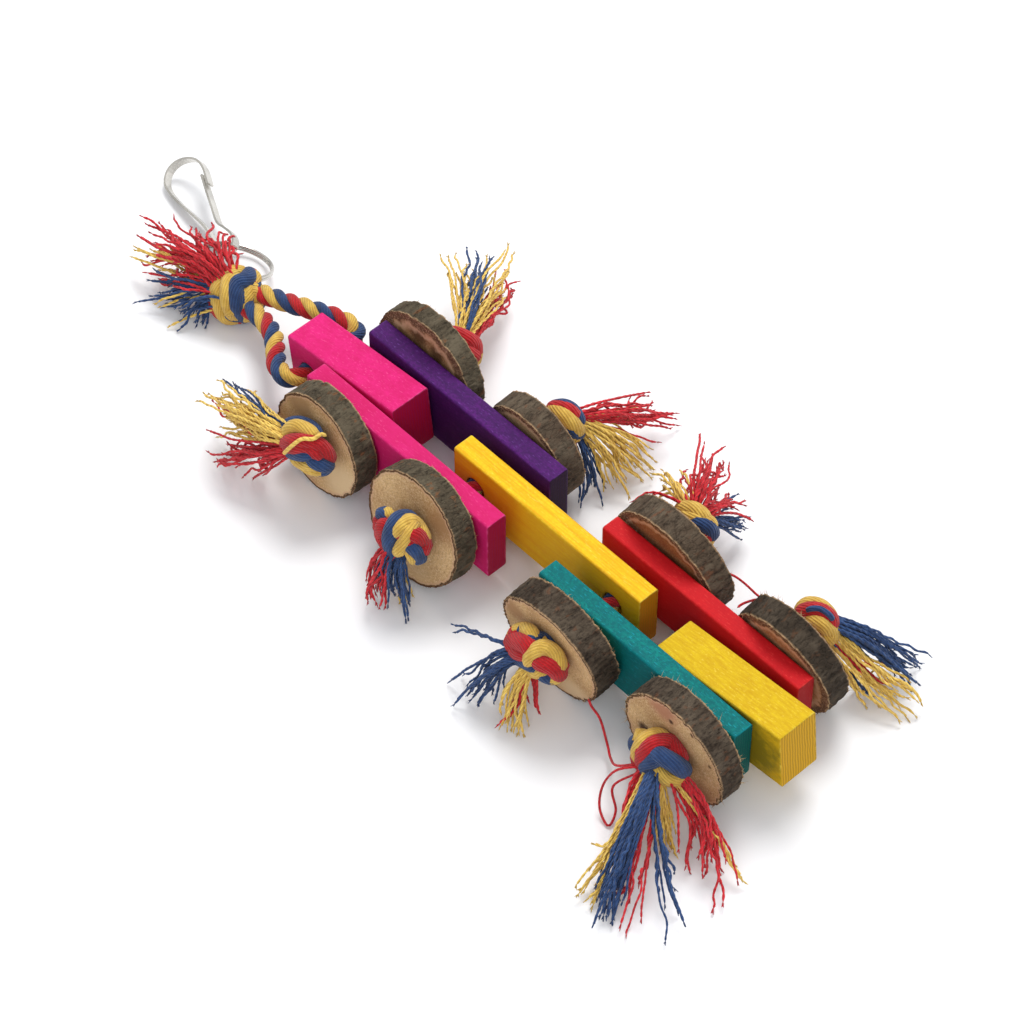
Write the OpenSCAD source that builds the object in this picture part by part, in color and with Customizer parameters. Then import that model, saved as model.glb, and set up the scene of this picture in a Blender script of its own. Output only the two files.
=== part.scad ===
// Hanging bird chew toy: dyed wood slats and blocks in a chain, threaded on four short ropes
// that also carry eight branch slices, and hung by a rope loop, a split ring and a strip clip.
// It is drawn lying down: the slices stand on the floor, the chain runs along X, the clip at -X.

/* [Chain] */
// Distance between rope row 1 and rope row 2 along the upper slats
upper_pitch = 49; // [47:1:56]
// Distance between rope row 2 and rope row 3 along the yellow link
link_pitch = 64; // [58:1:72]
// Distance between rope row 3 and rope row 4 along the lower slats
lower_pitch = 54; // [51:1:62]
// Height of the four rope rows above the floor
row_z = 21.5; // [20.5:0.5:24]
// Space between the inner faces of the upper slats
upper_space = 19.2; // [18.8:0.2:22]
// Space between the inner faces of the lower slats
lower_space = 20; // [18.8:0.2:22]

/* [Rope] */
// Diameter of the cotton rope
rope_d = 6; // [5:0.25:6.5]
// Diameter of the drilled rope holes
hole_d = 8.4; // [8:0.2:9]
// Clear space between a knot and the slice beside it
knot_gap = 0.5; // [0.3:0.1:2]

/* [Upper slats] */
// Height of the pink slat
pink_slat_h = 25.4; // [22:0.2:27]
// Thickness of the pink slat
pink_slat_t = 8; // [6:0.5:9]
// Height of the purple slat
purple_slat_h = 26.4; // [22:0.2:27]
// Thickness of the purple slat
purple_slat_t = 8; // [6:0.5:9]
// Reach of the upper slats beyond row 1, toward the clip
upper_end_far = 16; // [12:0.5:17]
// Reach of the upper slats beyond row 2
upper_end_near = 22; // [14:0.5:23]

/* [Lower slats] */
// Height of the teal slat
teal_slat_h = 24.8; // [22:0.2:27]
// Thickness of the teal slat
teal_slat_t = 7.8; // [6:0.2:9]
// Height of the red slat
red_slat_h = 23; // [20:0.2:27]
// Thickness of the red slat
red_slat_t = 7; // [6:0.5:9]
// Reach of the lower slats beyond row 3, toward the link
lower_end_near = 18; // [13:0.5:20]
// Reach of the lower slats beyond row 4
lower_end_far = 15; // [12:0.5:20]

/* [Link] */
// Height of the yellow link
link_h = 24.2; // [20:0.2:26]
// Thickness of the yellow link
link_t = 8; // [6:0.5:10]
// Reach of the yellow link beyond row 2
link_end_a = 10; // [9:0.5:13]
// Reach of the yellow link beyond row 3
link_end_b = 12; // [9:0.5:14]

/* [Blocks] */
// Height of both thick blocks
block_h = 23; // [20:0.2:25]
// Thickness of both thick blocks
block_t = 15.5; // [13:0.5:17]
// Reach of the pink block from row 1 toward the clip
pink_block_far = 36; // [34:0.5:40]
// Reach of the pink block from row 1 toward row 2
pink_block_near = 16.5; // [12:0.5:18]
// Distance of the hanging hole from row 1
hang_hole_x = 27; // [26:0.5:28]
// Slope of the pink block as it lies, clip end down
pink_block_tilt = 6.5; // [0:0.5:7]
// Reach of the yellow end block to each side of row 4
end_block_half = 27; // [22:0.5:30]
// Slope of the yellow end block as it lies, free end up
end_block_tilt = 6; // [0:0.5:10]

/* [Branch slices] */
// Diameter of front slice 1
front_1_d = 40.4; // [36:0.4:42]
// Thickness of front slice 1
front_1_t = 9.2; // [6:0.2:11]
// Diameter of front slice 2
front_2_d = 41.6; // [36:0.4:42]
// Thickness of front slice 2
front_2_t = 9; // [6:0.2:9.4]
// Diameter of front slice 3
front_3_d = 44.8; // [38:0.4:46]
// Thickness of front slice 3
front_3_t = 10.2; // [6:0.2:11]
// Diameter of front slice 4
front_4_d = 41.6; // [36:0.4:42]
// Thickness of front slice 4
front_4_t = 9.2; // [6:0.2:11]
// Diameter of rear slice 1
rear_1_d = 44.8; // [38:0.4:46]
// Thickness of rear slice 1
rear_1_t = 7.2; // [6:0.2:11]
// Diameter of rear slice 2
rear_2_d = 38.4; // [35:0.4:42]
// Thickness of rear slice 2
rear_2_t = 8.6; // [6:0.2:11]
// Diameter of rear slice 3
rear_3_d = 44; // [38:0.4:46]
// Thickness of rear slice 3
rear_3_t = 9; // [6:0.2:10]
// Diameter of rear slice 4
rear_4_d = 42.4; // [36:0.4:43]
// Thickness of rear slice 4
rear_4_t = 9.2; // [6:0.2:9.6]

/* [Clip and ring] */
// Radius of the split ring to the middle of its wire
ring_r = 13; // [12.5:0.25:13.5]
// Diameter of the split ring wire
ring_wire_d = 1.2; // [1:0.1:1.3]
// Width of the clip strip
clip_width = 3.5; // [3:0.25:4]
// Thickness of the clip strip
clip_strip_t = 0.8; // [0.6:0.1:1]

/* [Hidden] */
seat_gap = 0.3;        // running gap where a rope carries a piece
slice_gap = 0.6;       // between a slice and the slat inside it
edge_round = 0.8;      // worn long edges of the wood pieces
edge_steps = 3;        // corners in one rounded edge
tip_share = 0.3;       // thickness of a yarn tip as a share of its root
floor_clear = 0.3;     // yarn tips stay this far above the floor

// The slats and blocks hang on their ropes, so their holes sit below the rows
wood_z = row_z - (hole_d - rope_d) / 2 + seat_gap;

// Rows, from the middle of the link
link_x = 44.95;
row_2_x = link_x - link_pitch / 2;
row_3_x = link_x + link_pitch / 2;
row_1_x = row_2_x - upper_pitch;
row_4_x = row_3_x + lower_pitch;

// Side offsets of the pieces that hang loose between the slats
link_y = 1.4;
pink_block_y = -0.2;
end_block_y = -1.4;

// Slice leans about X; positive leans the top toward the front
front_leans = [-3.8, -11, 8, 2.2];
rear_leans = [-1.5, 5.3, 9.8, 10.5];
front_out = [0, 0, 0, 0];
rear_out = [0, 1, 0.6, 0];
front_d = [front_1_d, front_2_d, front_3_d, front_4_d];
rear_d = [rear_1_d, rear_2_d, rear_3_d, rear_4_d];
front_t = [front_1_t, front_2_t, front_3_t, front_4_t];
rear_t = [rear_1_t, rear_2_t, rear_3_t, rear_4_t];
row_x = [row_1_x, row_2_x, row_3_x, row_4_x];

// Outline of each slice: oval, three-lobed and lopsided shares of its radius
front_shape = [[0.012, -0.010, 0.02], [-0.015, 0.008, -0.03],
               [0.010, 0.012, 0.025], [-0.020, -0.008, -0.03]];
rear_shape = [[-0.012, 0.010, 0.03], [0.014, -0.008, -0.02],
              [-0.010, -0.012, 0.03], [0.012, 0.010, -0.03]];
outline_points = 60;

// Faces the slices lean on, and the standing distance of every slice from the chain middle
front_face = [upper_space / 2 + pink_slat_t, upper_space / 2 + pink_slat_t,
              lower_space / 2 + teal_slat_t, lower_space / 2 + teal_slat_t];
rear_face = [upper_space / 2 + purple_slat_t, upper_space / 2 + purple_slat_t,
             lower_space / 2 + red_slat_t, lower_space / 2 + red_slat_t];
front_half = [pink_slat_h / 2, pink_slat_h / 2, teal_slat_h / 2, teal_slat_h / 2];
rear_half = [purple_slat_h / 2, purple_slat_h / 2, red_slat_h / 2, red_slat_h / 2];
front_y = [for (i = [0:3]) -stand_off(front_face[i], front_half[i], front_t[i],
                                      front_leans[i], front_out[i])];
rear_y = [for (i = [0:3]) stand_off(rear_face[i], rear_half[i], rear_t[i],
                                    rear_leans[i], rear_out[i])];

// Knots: size factor, and shift from the row along X and Z
knot_core_r = 4.8;
wrap_r = 4.9;
wrap_rope_r = 3.1;
knot_half = 4.9;
front_knots = [[1.15, 1, 4], [1.25, 0, 2.5], [1.25, -1, 1], [1.2, 0, 1.5]];
rear_knots = [[1.15, 0, 4], [1.15, 2, 3.5], [1.15, -3, 3.5], [1.15, -2, 3]];
front_knot_y = [for (i = [0:3]) front_y[i] - knot_off(front_t[i], front_leans[i],
                                                     front_knots[i])];
rear_knot_y = [for (i = [0:3]) rear_y[i] + knot_off(rear_t[i], rear_leans[i], rear_knots[i])];

// Frayed ends: each lock is [bend point, tip, root radius], both seen from its knot
front_locks = [
  [[[-26, -4, 7], [-53, 3, -8], 2.2], [[-24, -2, 2], [-50, -3, -3], 2.2],
   [[-22, -2, 8], [-44, 2, 0], 2], [[-20, -6, 3], [-47, -1, -12], 2.2],
   [[-20, -8, -4], [-34, -14, -16], 2], [[-14, -8, -8], [-22, -9, -20], 2],
   [[-22, -6, 0], [-42, -9, -14], 1.8]],
  [[[-1, -9, 0], [4, -8, -21], 2.2], [[-2, -10, -2], [-2, -16, -21.5], 2.2],
   [[2, -9, -2], [6, -14, -21.5], 2.2], [[-5, -8, -2], [-6, -10, -21], 2.2],
   [[4, -7, -4], [9, -6, -21], 2], [[-2, -6, -5], [0, -6, -21.5], 2]],
  [[[-12, -8, 2], [-25, -14, -14], 2.3], [[-8, -9, 0], [-14, -20, -19], 2.3],
   [[-6, -10, -2], [-8, -22, -20], 2.2], [[2, -9, -1], [5, -16, -20], 2.2],
   [[4, -8, -3], [10, -8, -20.5], 2.2], [[-2, -8, -3], [0, -18, -20.5], 2.2],
   [[-14, -4, 2], [-34, -5, -8], 1.6], [[-10, -8, 3], [-32, -10, -15], 1.8]],
  [[[8, -20, 2], [22, -45.4, -19.5], 2.5], [[10, -22, 0], [16, -44, -20], 2.5],
   [[6, -18, -2], [26, -36, -20], 2.4], [[4, -16, 0], [11, -45, -19.5], 2.3],
   [[14, -10, 2], [44, -30, -20.5], 2.2], [[14, -6, 0], [45, -8, -19], 2],
   [[10, -10, -4], [36, -18, -20.5], 2.2], [[-4, -8, 4], [-4, -12, -15], 1.8],
   [[16, -6, -4], [39, -14, -20], 2]]];
rear_locks = [
  [[[-18, 10, 4], [-31, 31, 2], 2.3], [[-14, 14, 3], [-18, 44, -6], 2.3],
   [[-14, 14, 4], [-26, 38, -2], 2.3], [[-10, 12, 0], [-10, 34, -10], 2.2],
   [[-10, 10, -4], [-5, 30, -4], 2.2], [[-16, 12, 0], [-22, 34, -8], 2.1]],
  [[[6, 14, 0], [17, 43.5, -12], 2.3], [[8, 12, -4], [23, 35, -14], 2.3],
   [[8, 10, -6], [23, 22, -18], 2.2], [[8, 6, -10], [22, 8, -20], 2.2],
   [[10, 4, -10], [25, 2, -21], 2.1], [[6, 10, -4], [20, 30, -16], 2.1]],
  [[[2, 12, 8], [-2, 24, -2], 2.4], [[-4, 10, 10], [-18, 14, 11], 2.3],
   [[4, 12, 4], [4, 22, -8], 2.4], [[8, 10, 0], [8, 18, -14], 2.3],
   [[0, 12, 10], [-10, 20, 6], 2.2], [[6, 12, 6], [0, 24, -6], 2.2]],
  [[[10, 14, 2], [24, 26, -17], 2.4], [[14, 12, 0], [35, 22, -20], 2.4],
   [[16, 8, 0], [38, 12, -20], 2.3], [[12, 12, -4], [28, 24, -19], 2.2],
   [[8, 12, 0], [18, 18, -18], 2.2], [[14, 10, 2], [32, 16, -19], 2]]];

// Hanger: knot behind the pink block, its two rope legs and its frayed end
hanger_wrap_r = 7;
hanger_rope_r = 3.2;
hanger_reach = 48;      // from the knot to the hanging hole
hang_hole = [row_1_x - hang_hole_x * cos(pink_block_tilt), pink_block_y,
             wood_z - hang_hole_x * sin(pink_block_tilt)];
hanger_knot = [hang_hole[0] - hanger_reach, 1.3, hanger_wrap_r + hanger_rope_r];
hanger_wrap_x = 2.8;
hanger_core_r = 7;
leg_sides = 8;

// Rope loop from the knot through the hole and back, in the hole against its clip side
in_hole = hanger_reach - (hole_d / 2 - hanger_rope_r - seat_gap);
up = hang_hole[2] - hanger_knot[2];
rope_loop = [[1, -1.5, 0.07 * up], [14.7, -2.2, 0.27 * up], [24.2, -5.1, 0.55 * up],
             [31.3, -9.8, 0.77 * up], [37.7, -14.6, 0.96 * up], [in_hole - 4.3, -16.2, 1.02 * up],
             [in_hole - 1, -14.4, 1.01 * up], [in_hole, -10.5, up], [in_hole, -1.5, up],
             [in_hole, 8, up], [in_hole - 0.7, 12.6, 1.02 * up], [in_hole - 3.7, 14.4, 1.11 * up],
             [38, 13.4, 1.17 * up], [29.6, 10.4, 1.09 * up], [19.3, 7, 0.85 * up],
             [7, 4.2, 0.44 * up], [1, 2.5, 0.07 * up]];
hanger_locks = [[[-12, -5, 2], [-34, -9, 6], 2.6], [[-12, -6, 0], [-36, -15, 1], 2.6],
                [[-10, -9, 2], [-28, -20, 0], 2.5], [[-8, -10, -3], [-18, -24, -4], 2.4],
                [[-6, -10, -4], [-6, -20, -7.5], 2.3], [[-13, -4, -3], [-33, -12, -5], 2.4],
                [[-10, -8, -4], [-24, -18, -7], 2.3]];

// Split ring: it passes under a wrap of the hanger knot
ring_at = hanger_knot + [-13.2, 10.1, -1.5];
ring_roll = -28;
ring_yaw = 14;
ring_turn = ring_wire_d * 0.45;
ring_clear = 1.5;

// Clip: middle line of the strip in its own plane, from the eye round the hook to the gate
clip_at = ring_at + [-11.9, 3.8, -3.5];
clip_turn = [-35, -7.5, 153];
clip_line = [[29.6, -0.8], [22, -0.9], [15, -1.1], [8.4, -1.3], [4.6, -3.4], [1, -5.2],
             [-2.6, -5.2], [-4.6, -2.6], [-4.2, 0.8], [-1.4, 2.7], [3.2, 2.6], [8.8, 3.6],
             [16.4, 6.9], [23.3, 10.2], [30, 13], [35.2, 13.9], [39.2, 11.6], [40.6, 7.6],
             [39.4, 3], [36.4, -0.6], [32.4, -2.1], [28.4, -2.3], [24.8, -2.2]];

// Rise of a slice's hole above its row, where the rope lies on the bottom of the hole
function slice_rise(t, lean) =
  max(0, (hole_d - rope_d / cos(lean) - t * tan(abs(lean))) / 2 - seat_gap);

// Distance of a leaning slice's middle from the chain middle
function stand_off(face, half, t, lean, out) =
  face + slice_gap + out + t / 2 / cos(lean) + half * tan(abs(lean));

// Distance of a knot's middle from the slice's middle
function knot_off(t, lean, k) =
  t / 2 / cos(lean) + (8 * k[0] + abs(k[2])) * tan(abs(lean)) + knot_half * k[0] + knot_gap;

// Drop of a slice's middle below its hole, so that its lowest point stands on the floor
function hole_drop(r, t, lean) =
  (row_z + slice_rise(t, lean) - t / 2 * sin(abs(lean))) / cos(lean) - r;

// Radius of a slice at an angle from its lowest point
function slice_r(r, s, a) =
  r * (1 + s[0] * (cos(2 * a) - 1) + s[1] * (cos(3 * a) - 1) + s[2] * sin(a) * (1 - cos(a))
       + 0.004 * (cos(11 * a) - 1) + 0.003 * (cos(17 * a) - 1));

// Point on a smooth line through p at place i + f
function smooth(p, i, f) =
  let (a = p[max(i - 1, 0)], b = p[i], c = p[min(i + 1, len(p) - 1)], d = p[min(i + 2, len(p) - 1)])
  0.5 * (2 * b + (c - a) * f + (2 * a - 5 * b + 4 * c - d) * f * f
         + (3 * b - a - 3 * c + d) * f * f * f);
function smooth_line(p, n) =
  concat([for (i = [0:len(p) - 2]) for (k = [0:n - 1]) smooth(p, i, k / n)], [p[len(p) - 1]]);

// Direction of a line of points at place i
function line_dir(p, i) =
  let (d = p[min(i + 1, len(p) - 1)] - p[max(i - 1, 0)]) d / norm(d);

// One edge of a flat strip along a line
function strip_edge(p, h) =
  [for (i = [0:len(p) - 1]) let (d = line_dir(p, i)) p[i] + h * [-d[1], d[0]]];

// Round tube along a line, with a radius for every point
module tube(p, r, sides) {
  n = len(p);
  points = [for (i = [0:n - 1])
    let (d = line_dir(p, i),
         u0 = cross(d, abs(d[2]) < 0.9 ? [0, 0, 1] : [1, 0, 0]),
         u = u0 / norm(u0),
         w = cross(d, u))
    for (k = [0:sides - 1])
      p[i] + r[i] * (cos(360 * k / sides) * u + sin(360 * k / sides) * w)];
  walls = [for (i = [0:n - 2]) for (k = [0:sides - 1])
    [i * sides + k, (i + 1) * sides + k,
     (i + 1) * sides + (k + 1) % sides, i * sides + (k + 1) % sides]];
  first_cap = [for (k = [0:sides - 1]) k];
  last_cap = [for (k = [0:sides - 1]) n * sides - 1 - k];
  polyhedron(points, concat(walls, [first_cap, last_cap]));
}

// One tapering lock of yarn from the middle of a knot that is z above the floor
module lock(bend, tip, r, z) {
  end = [tip[0], tip[1], max(tip[2], r * tip_share + floor_clear - z)];
  middle = bend / 2 + end / 4;
  hull() {
    bead([0, 0, 0], r);
    bead(middle, r * 0.95);
  }
  hull() {
    bead(middle, r * 0.95);
    bead(end, r * tip_share);
  }
}

module bead(at, r) {
  translate(at) sphere(r = r, $fn = 7);
}

// Flat knot seen from outside: a core and two crossing wraps
module flat_knot() {
  sphere(r = knot_core_r, $fn = 12);
  rotate([90, 0, 0]) wrap(wrap_r, wrap_rope_r);
  rotate([60, 20, 0]) wrap(wrap_r * 0.8, wrap_rope_r * 0.92);
}

// One turn of rope about Z
module wrap(r, rope_r) {
  rotate_extrude($fn = 16) translate([r, 0]) circle(r = rope_r, $fn = 8);
}

// Bar along X with rounded long edges, from x0 to x1
module bar(x0, x1, t, h) {
  corner = [[t / 2 - edge_round, h / 2 - edge_round, 0], [-t / 2 + edge_round, h / 2 - edge_round, 90],
            [-t / 2 + edge_round, -h / 2 + edge_round, 180], [t / 2 - edge_round, -h / 2 + edge_round, 270]];
  section = [for (c = corner) for (k = [0:edge_steps])
    [c[0] + edge_round * cos(c[2] + 90 * k / edge_steps),
     c[1] + edge_round * sin(c[2] + 90 * k / edge_steps)]];
  translate([x0, 0, 0]) rotate([90, 0, 90]) linear_extrude(x1 - x0) polygon(section);
}

// Rope hole through a bar at x
module rope_hole(x, t) {
  translate([x, 0, 0]) rotate([90, 0, 0]) cylinder(d = hole_d, h = t + 2, center = true, $fn = 36);
}

module slat(x0, x1, y, t, h, holes) {
  translate([0, y, wood_z]) difference() {
    bar(x0, x1, t, h);
    for (x = holes) rope_hole(x, t);
  }
}

module pink_block() {
  color([0.85, 0.15, 0.45])
  translate([row_1_x, pink_block_y, wood_z]) rotate([0, -pink_block_tilt, 0]) difference() {
    bar(-pink_block_far, pink_block_near, block_t, block_h);
    rope_hole(0, block_t);
    rope_hole(-hang_hole_x, block_t);
  }
}

module yellow_end_block() {
  color([0.95, 0.78, 0.1])
  translate([row_4_x, end_block_y, wood_z]) rotate([0, -end_block_tilt, 0]) difference() {
    bar(-end_block_half, end_block_half, block_t, block_h);
    rope_hole(0, block_t);
  }
}

module pink_slat() {
  color([0.85, 0.15, 0.45])
  slat(row_1_x - upper_end_far, row_2_x + upper_end_near, -upper_space / 2 - pink_slat_t / 2,
       pink_slat_t, pink_slat_h, [row_1_x, row_2_x]);
}

module purple_slat() {
  color([0.25, 0.08, 0.42])
  slat(row_1_x - upper_end_far, row_2_x + upper_end_near, upper_space / 2 + purple_slat_t / 2,
       purple_slat_t, purple_slat_h, [row_1_x, row_2_x]);
}

module yellow_link() {
  color([0.95, 0.78, 0.1])
  slat(row_2_x - link_end_a, row_3_x + link_end_b, link_y, link_t, link_h, [row_2_x, row_3_x]);
}

module teal_slat() {
  color([0.03, 0.5, 0.42])
  slat(row_3_x - lower_end_near, row_4_x + lower_end_far, -lower_space / 2 - teal_slat_t / 2,
       teal_slat_t, teal_slat_h, [row_3_x, row_4_x]);
}

module red_slat() {
  color([0.8, 0.08, 0.12])
  slat(row_3_x - lower_end_near, row_4_x + lower_end_far, lower_space / 2 + red_slat_t / 2,
       red_slat_t, red_slat_h, [row_3_x, row_4_x]);
}

// Slice of a branch, sawn across, drilled for the rope near its middle
module branch_slice(x, y, d, t, lean, shape) {
  r = d / 2;
  outline = [for (k = [0:outline_points - 1])
    let (a = 360 * k / outline_points, q = slice_r(r, shape, a))
    [q * sin(a), -q * cos(a) - hole_drop(r, t, lean)]];
  color([0.55, 0.42, 0.3])
  translate([x, y, row_z + slice_rise(t, lean)])
  rotate([lean + 90, 0, 0]) difference() {
    linear_extrude(t, center = true) polygon(outline);
    cylinder(d = hole_d, h = t + 2, center = true, $fn = 36);
  }
}

module slice_front(i) {
  branch_slice(row_x[i], front_y[i], front_d[i], front_t[i], front_leans[i], front_shape[i]);
}

module slice_rear(i) {
  branch_slice(row_x[i], rear_y[i], rear_d[i], rear_t[i], rear_leans[i], rear_shape[i]);
}

module slice_front_1() { slice_front(0); }
module slice_front_2() { slice_front(1); }
module slice_front_3() { slice_front(2); }
module slice_front_4() { slice_front(3); }
module slice_rear_1() { slice_rear(0); }
module slice_rear_2() { slice_rear(1); }
module slice_rear_3() { slice_rear(2); }
module slice_rear_4() { slice_rear(3); }

// Knot with its frayed end at a place
module knot_end(at, k, locks) {
  translate(at + [k[1], 0, k[2]]) {
    scale(k[0]) flat_knot();
    for (l = locks) lock(l[0], l[1] - [k[1], 0, k[2]], l[2], at[2] + k[2]);
  }
}

// Short rope through one row, knotted and frayed at both ends
module cross_rope(i) {
  y0 = front_knot_y[i];
  y1 = rear_knot_y[i];
  color([0.75, 0.2, 0.2]) {
    translate([row_x[i], y1, row_z]) rotate([90, 0, 0]) cylinder(d = rope_d, h = y1 - y0, $fn = 16);
    knot_end([row_x[i], y0, row_z], front_knots[i], front_locks[i]);
    knot_end([row_x[i], y1, row_z], rear_knots[i], rear_locks[i]);
  }
}

module cross_rope_1() { cross_rope(0); }
module cross_rope_2() { cross_rope(1); }
module cross_rope_3() { cross_rope(2); }
module cross_rope_4() { cross_rope(3); }

// Space that the split ring takes through the knot; the ring is pulled toward the clip in it
module ring_space() {
  translate(ring_at) rotate([ring_roll, 0, ring_yaw])
    rotate_extrude($fn = 48) translate([ring_r + ring_clear - seat_gap, 0])
      circle(r = ring_turn + ring_wire_d / 2 + ring_clear, $fn = 16);
}

module hanger_rope() {
  color([0.75, 0.2, 0.2]) difference() {
    translate(hanger_knot) {
      sphere(r = hanger_core_r, $fn = 14);
      for (s = [-1, 1]) translate([s * hanger_wrap_x, 0, 0]) rotate([0, 90, 0])
        wrap(hanger_wrap_r, hanger_rope_r);
      loop = smooth_line(rope_loop, 2);
      tube(loop, [for (q = loop) hanger_rope_r], leg_sides);
      for (l = hanger_locks) lock(l[0], l[1], l[2], hanger_knot[2]);
    }
    ring_space();
  }
}

// Two touching turns of spring wire
module split_ring() {
  color([0.75, 0.75, 0.75])
  translate(ring_at) rotate([ring_roll, 0, ring_yaw]) for (s = [-1, 1])
    translate([0, 0, s * ring_turn]) rotate_extrude($fn = 48)
      translate([ring_r, 0]) circle(d = ring_wire_d, $fn = 16);
}

// One strip of spring steel bent into an eye, a long hook and a gate
module snap_clip() {
  p = smooth_line(clip_line, 3);
  edge = concat(strip_edge(p, clip_strip_t / 2),
                [for (i = [len(p) - 1:-1:0]) strip_edge(p, -clip_strip_t / 2)[i]]);
  color([0.75, 0.75, 0.75])
  translate(clip_at) rotate(clip_turn) linear_extrude(clip_width, center = true) polygon(edge);
}

snap_clip();
split_ring();
hanger_rope();
pink_block();
pink_slat();
purple_slat();
yellow_link();
teal_slat();
red_slat();
yellow_end_block();
slice_front_1();
slice_front_2();
slice_front_3();
slice_front_4();
slice_rear_1();
slice_rear_2();
slice_rear_3();
slice_rear_4();
cross_rope_1();
cross_rope_2();
cross_rope_3();
cross_rope_4();
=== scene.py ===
import bpy
import math
import numpy as np
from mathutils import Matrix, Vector, noise


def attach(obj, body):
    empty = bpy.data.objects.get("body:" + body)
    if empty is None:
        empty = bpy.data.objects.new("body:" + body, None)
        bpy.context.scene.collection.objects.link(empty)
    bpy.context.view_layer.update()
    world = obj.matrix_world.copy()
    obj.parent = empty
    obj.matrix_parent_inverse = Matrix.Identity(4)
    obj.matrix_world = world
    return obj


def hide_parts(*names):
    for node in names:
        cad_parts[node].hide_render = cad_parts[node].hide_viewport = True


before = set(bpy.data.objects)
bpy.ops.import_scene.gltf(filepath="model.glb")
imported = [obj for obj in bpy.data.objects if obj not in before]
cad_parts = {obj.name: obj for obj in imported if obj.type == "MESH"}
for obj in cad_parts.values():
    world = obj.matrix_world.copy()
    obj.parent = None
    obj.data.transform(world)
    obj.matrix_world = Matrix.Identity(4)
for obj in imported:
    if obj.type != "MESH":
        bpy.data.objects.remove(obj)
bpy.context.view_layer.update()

# Camera. The toy lies across the picture from corner to corner, seen from above its front right end.
# Place and lens were fitted to the edges of the pink and the yellow block, in mm from the toy's middle.
MM = 0.001
cam_data = bpy.data.cameras.new("camera")
cam_data.sensor_width = 36
cam_data.lens = 138.42
cam_data.clip_start, cam_data.clip_end = 0.05, 20
camera = bpy.data.objects.new("camera", cam_data)
bpy.context.scene.collection.objects.link(camera)
eye = Vector((607.15, -540.1, 1012.1)) * MM
aim = Vector((28.91, -1.29, 22.0)) * MM
camera.location = eye
camera.rotation_euler = (aim - eye).to_track_quat("-Z", "Y").to_euler()
bpy.context.scene.camera = camera
bpy.context.scene.view_settings.view_transform = "Standard"


# Table and studio light. The toy lies on a sheet of white paper, which keeps its shadow.
# One big soft lamp stands above and behind it, a weak one in front, and white walls stand round both.
def new_material(name, color, rough):
    m = bpy.data.materials.new(name)
    m.use_nodes = True
    b = m.node_tree.nodes["Principled BSDF"]
    b.inputs["Base Color"].default_value = (*color, 1)
    b.inputs["Roughness"].default_value = rough
    return m


def mesh_object(name, verts, faces, materials):
    me = bpy.data.meshes.new(name)
    me.from_pydata([tuple(v) for v in verts], [], [tuple(f) for f in faces])
    me.update()
    o = bpy.data.objects.new(name, me)
    bpy.context.scene.collection.objects.link(o)
    for m in materials:
        me.materials.append(m)
    me.shade_smooth()
    return o


reach = 6  # metres of paper each way, past all that the camera sees
floor = mesh_object("floor", [(-reach, -reach, 0), (reach, -reach, 0), (reach, reach, 0), (-reach, reach, 0)],
                    [(0, 1, 2, 3)], [new_material("paper", (0.9, 0.9, 0.9), 0.8)])


def soft_lamp(name, place, size, power):
    """A round lamp aimed at the toy's middle."""
    d = bpy.data.lights.new(name, "AREA")
    d.shape = "DISK"
    d.size = size
    d.energy = power
    o = bpy.data.objects.new(name, d)
    bpy.context.scene.collection.objects.link(o)
    o.location = place
    o.rotation_euler = (-Vector(place)).to_track_quat("-Z", "Y").to_euler()


soft_lamp("key", (-0.4, 0.7, 1.5), 0.9, 21)
soft_lamp("fill", (1.1, -0.9, 1.3), 1.2, 8)


def put(tree, kind, links=(), **values):
    """Adds a node; links are (input, socket) pairs and values are its settings or input defaults."""
    n = tree.nodes.new(kind)
    for k, v in values.items():
        if hasattr(n, k):
            setattr(n, k, v)
        else:
            n.inputs[k.replace("_", " ")].default_value = v
    for i, s in links:
        tree.links.new(s, n.inputs[i])
    return n


world = bpy.data.worlds.new("studio")
bpy.context.scene.world = world
world.use_nodes = True
studio = world.node_tree
studio.nodes.clear()
rays = put(studio, "ShaderNodeLightPath").outputs
seen = rays["Is Camera Ray"]
for ray in ("Is Glossy Ray", "Is Transmission Ray"):
    seen = put(studio, "ShaderNodeMath", [(0, seen), (1, rays[ray])], operation="MAXIMUM").outputs[0]
walls = put(studio, "ShaderNodeBackground", Color=(0.93, 0.95, 1.0, 1), Strength=0.72).outputs[0]
white = put(studio, "ShaderNodeBackground", Strength=1.0).outputs[0]
shown = put(studio, "ShaderNodeMixShader", [(0, seen), (1, walls), (2, white)]).outputs[0]
put(studio, "ShaderNodeOutputWorld", [("Surface", shown)])


# Dyed wood: two thick blocks, four slats and the link, sawn from pine and drilled for the rope.
# They are soaked in food dye, so the grain still shows through. The dye pools in the end grain,
# and the sawn corners are rubbed paler. Each piece hangs loose on the ropes that pass through it.
def new_group(name, vectors, values, outputs):
    """Starts a node group; vectors and values are its inputs, and it puts out values."""
    g = bpy.data.node_groups.new(name, "ShaderNodeTree")
    for n in vectors:
        g.interface.new_socket(n, in_out="INPUT", socket_type="NodeSocketVector")
    for n, value in values.items():
        g.interface.new_socket(n, in_out="INPUT", socket_type="NodeSocketFloat").default_value = value
    for n in outputs:
        g.interface.new_socket(n, in_out="OUTPUT", socket_type="NodeSocketFloat")
    return g, g.nodes.new("NodeGroupInput").outputs, g.nodes.new("NodeGroupOutput").inputs


def math_node(tree, op, a, b=None):
    """Result of a sum; a and b are numbers or sockets."""
    n = tree.nodes.new("ShaderNodeMath")
    n.operation = op
    for i, v in enumerate((a, b)):
        if v is None:
            continue
        if isinstance(v, (int, float)):
            n.inputs[i].default_value = v
        else:
            tree.links.new(v, n.inputs[i])
    return n.outputs[0]


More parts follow.
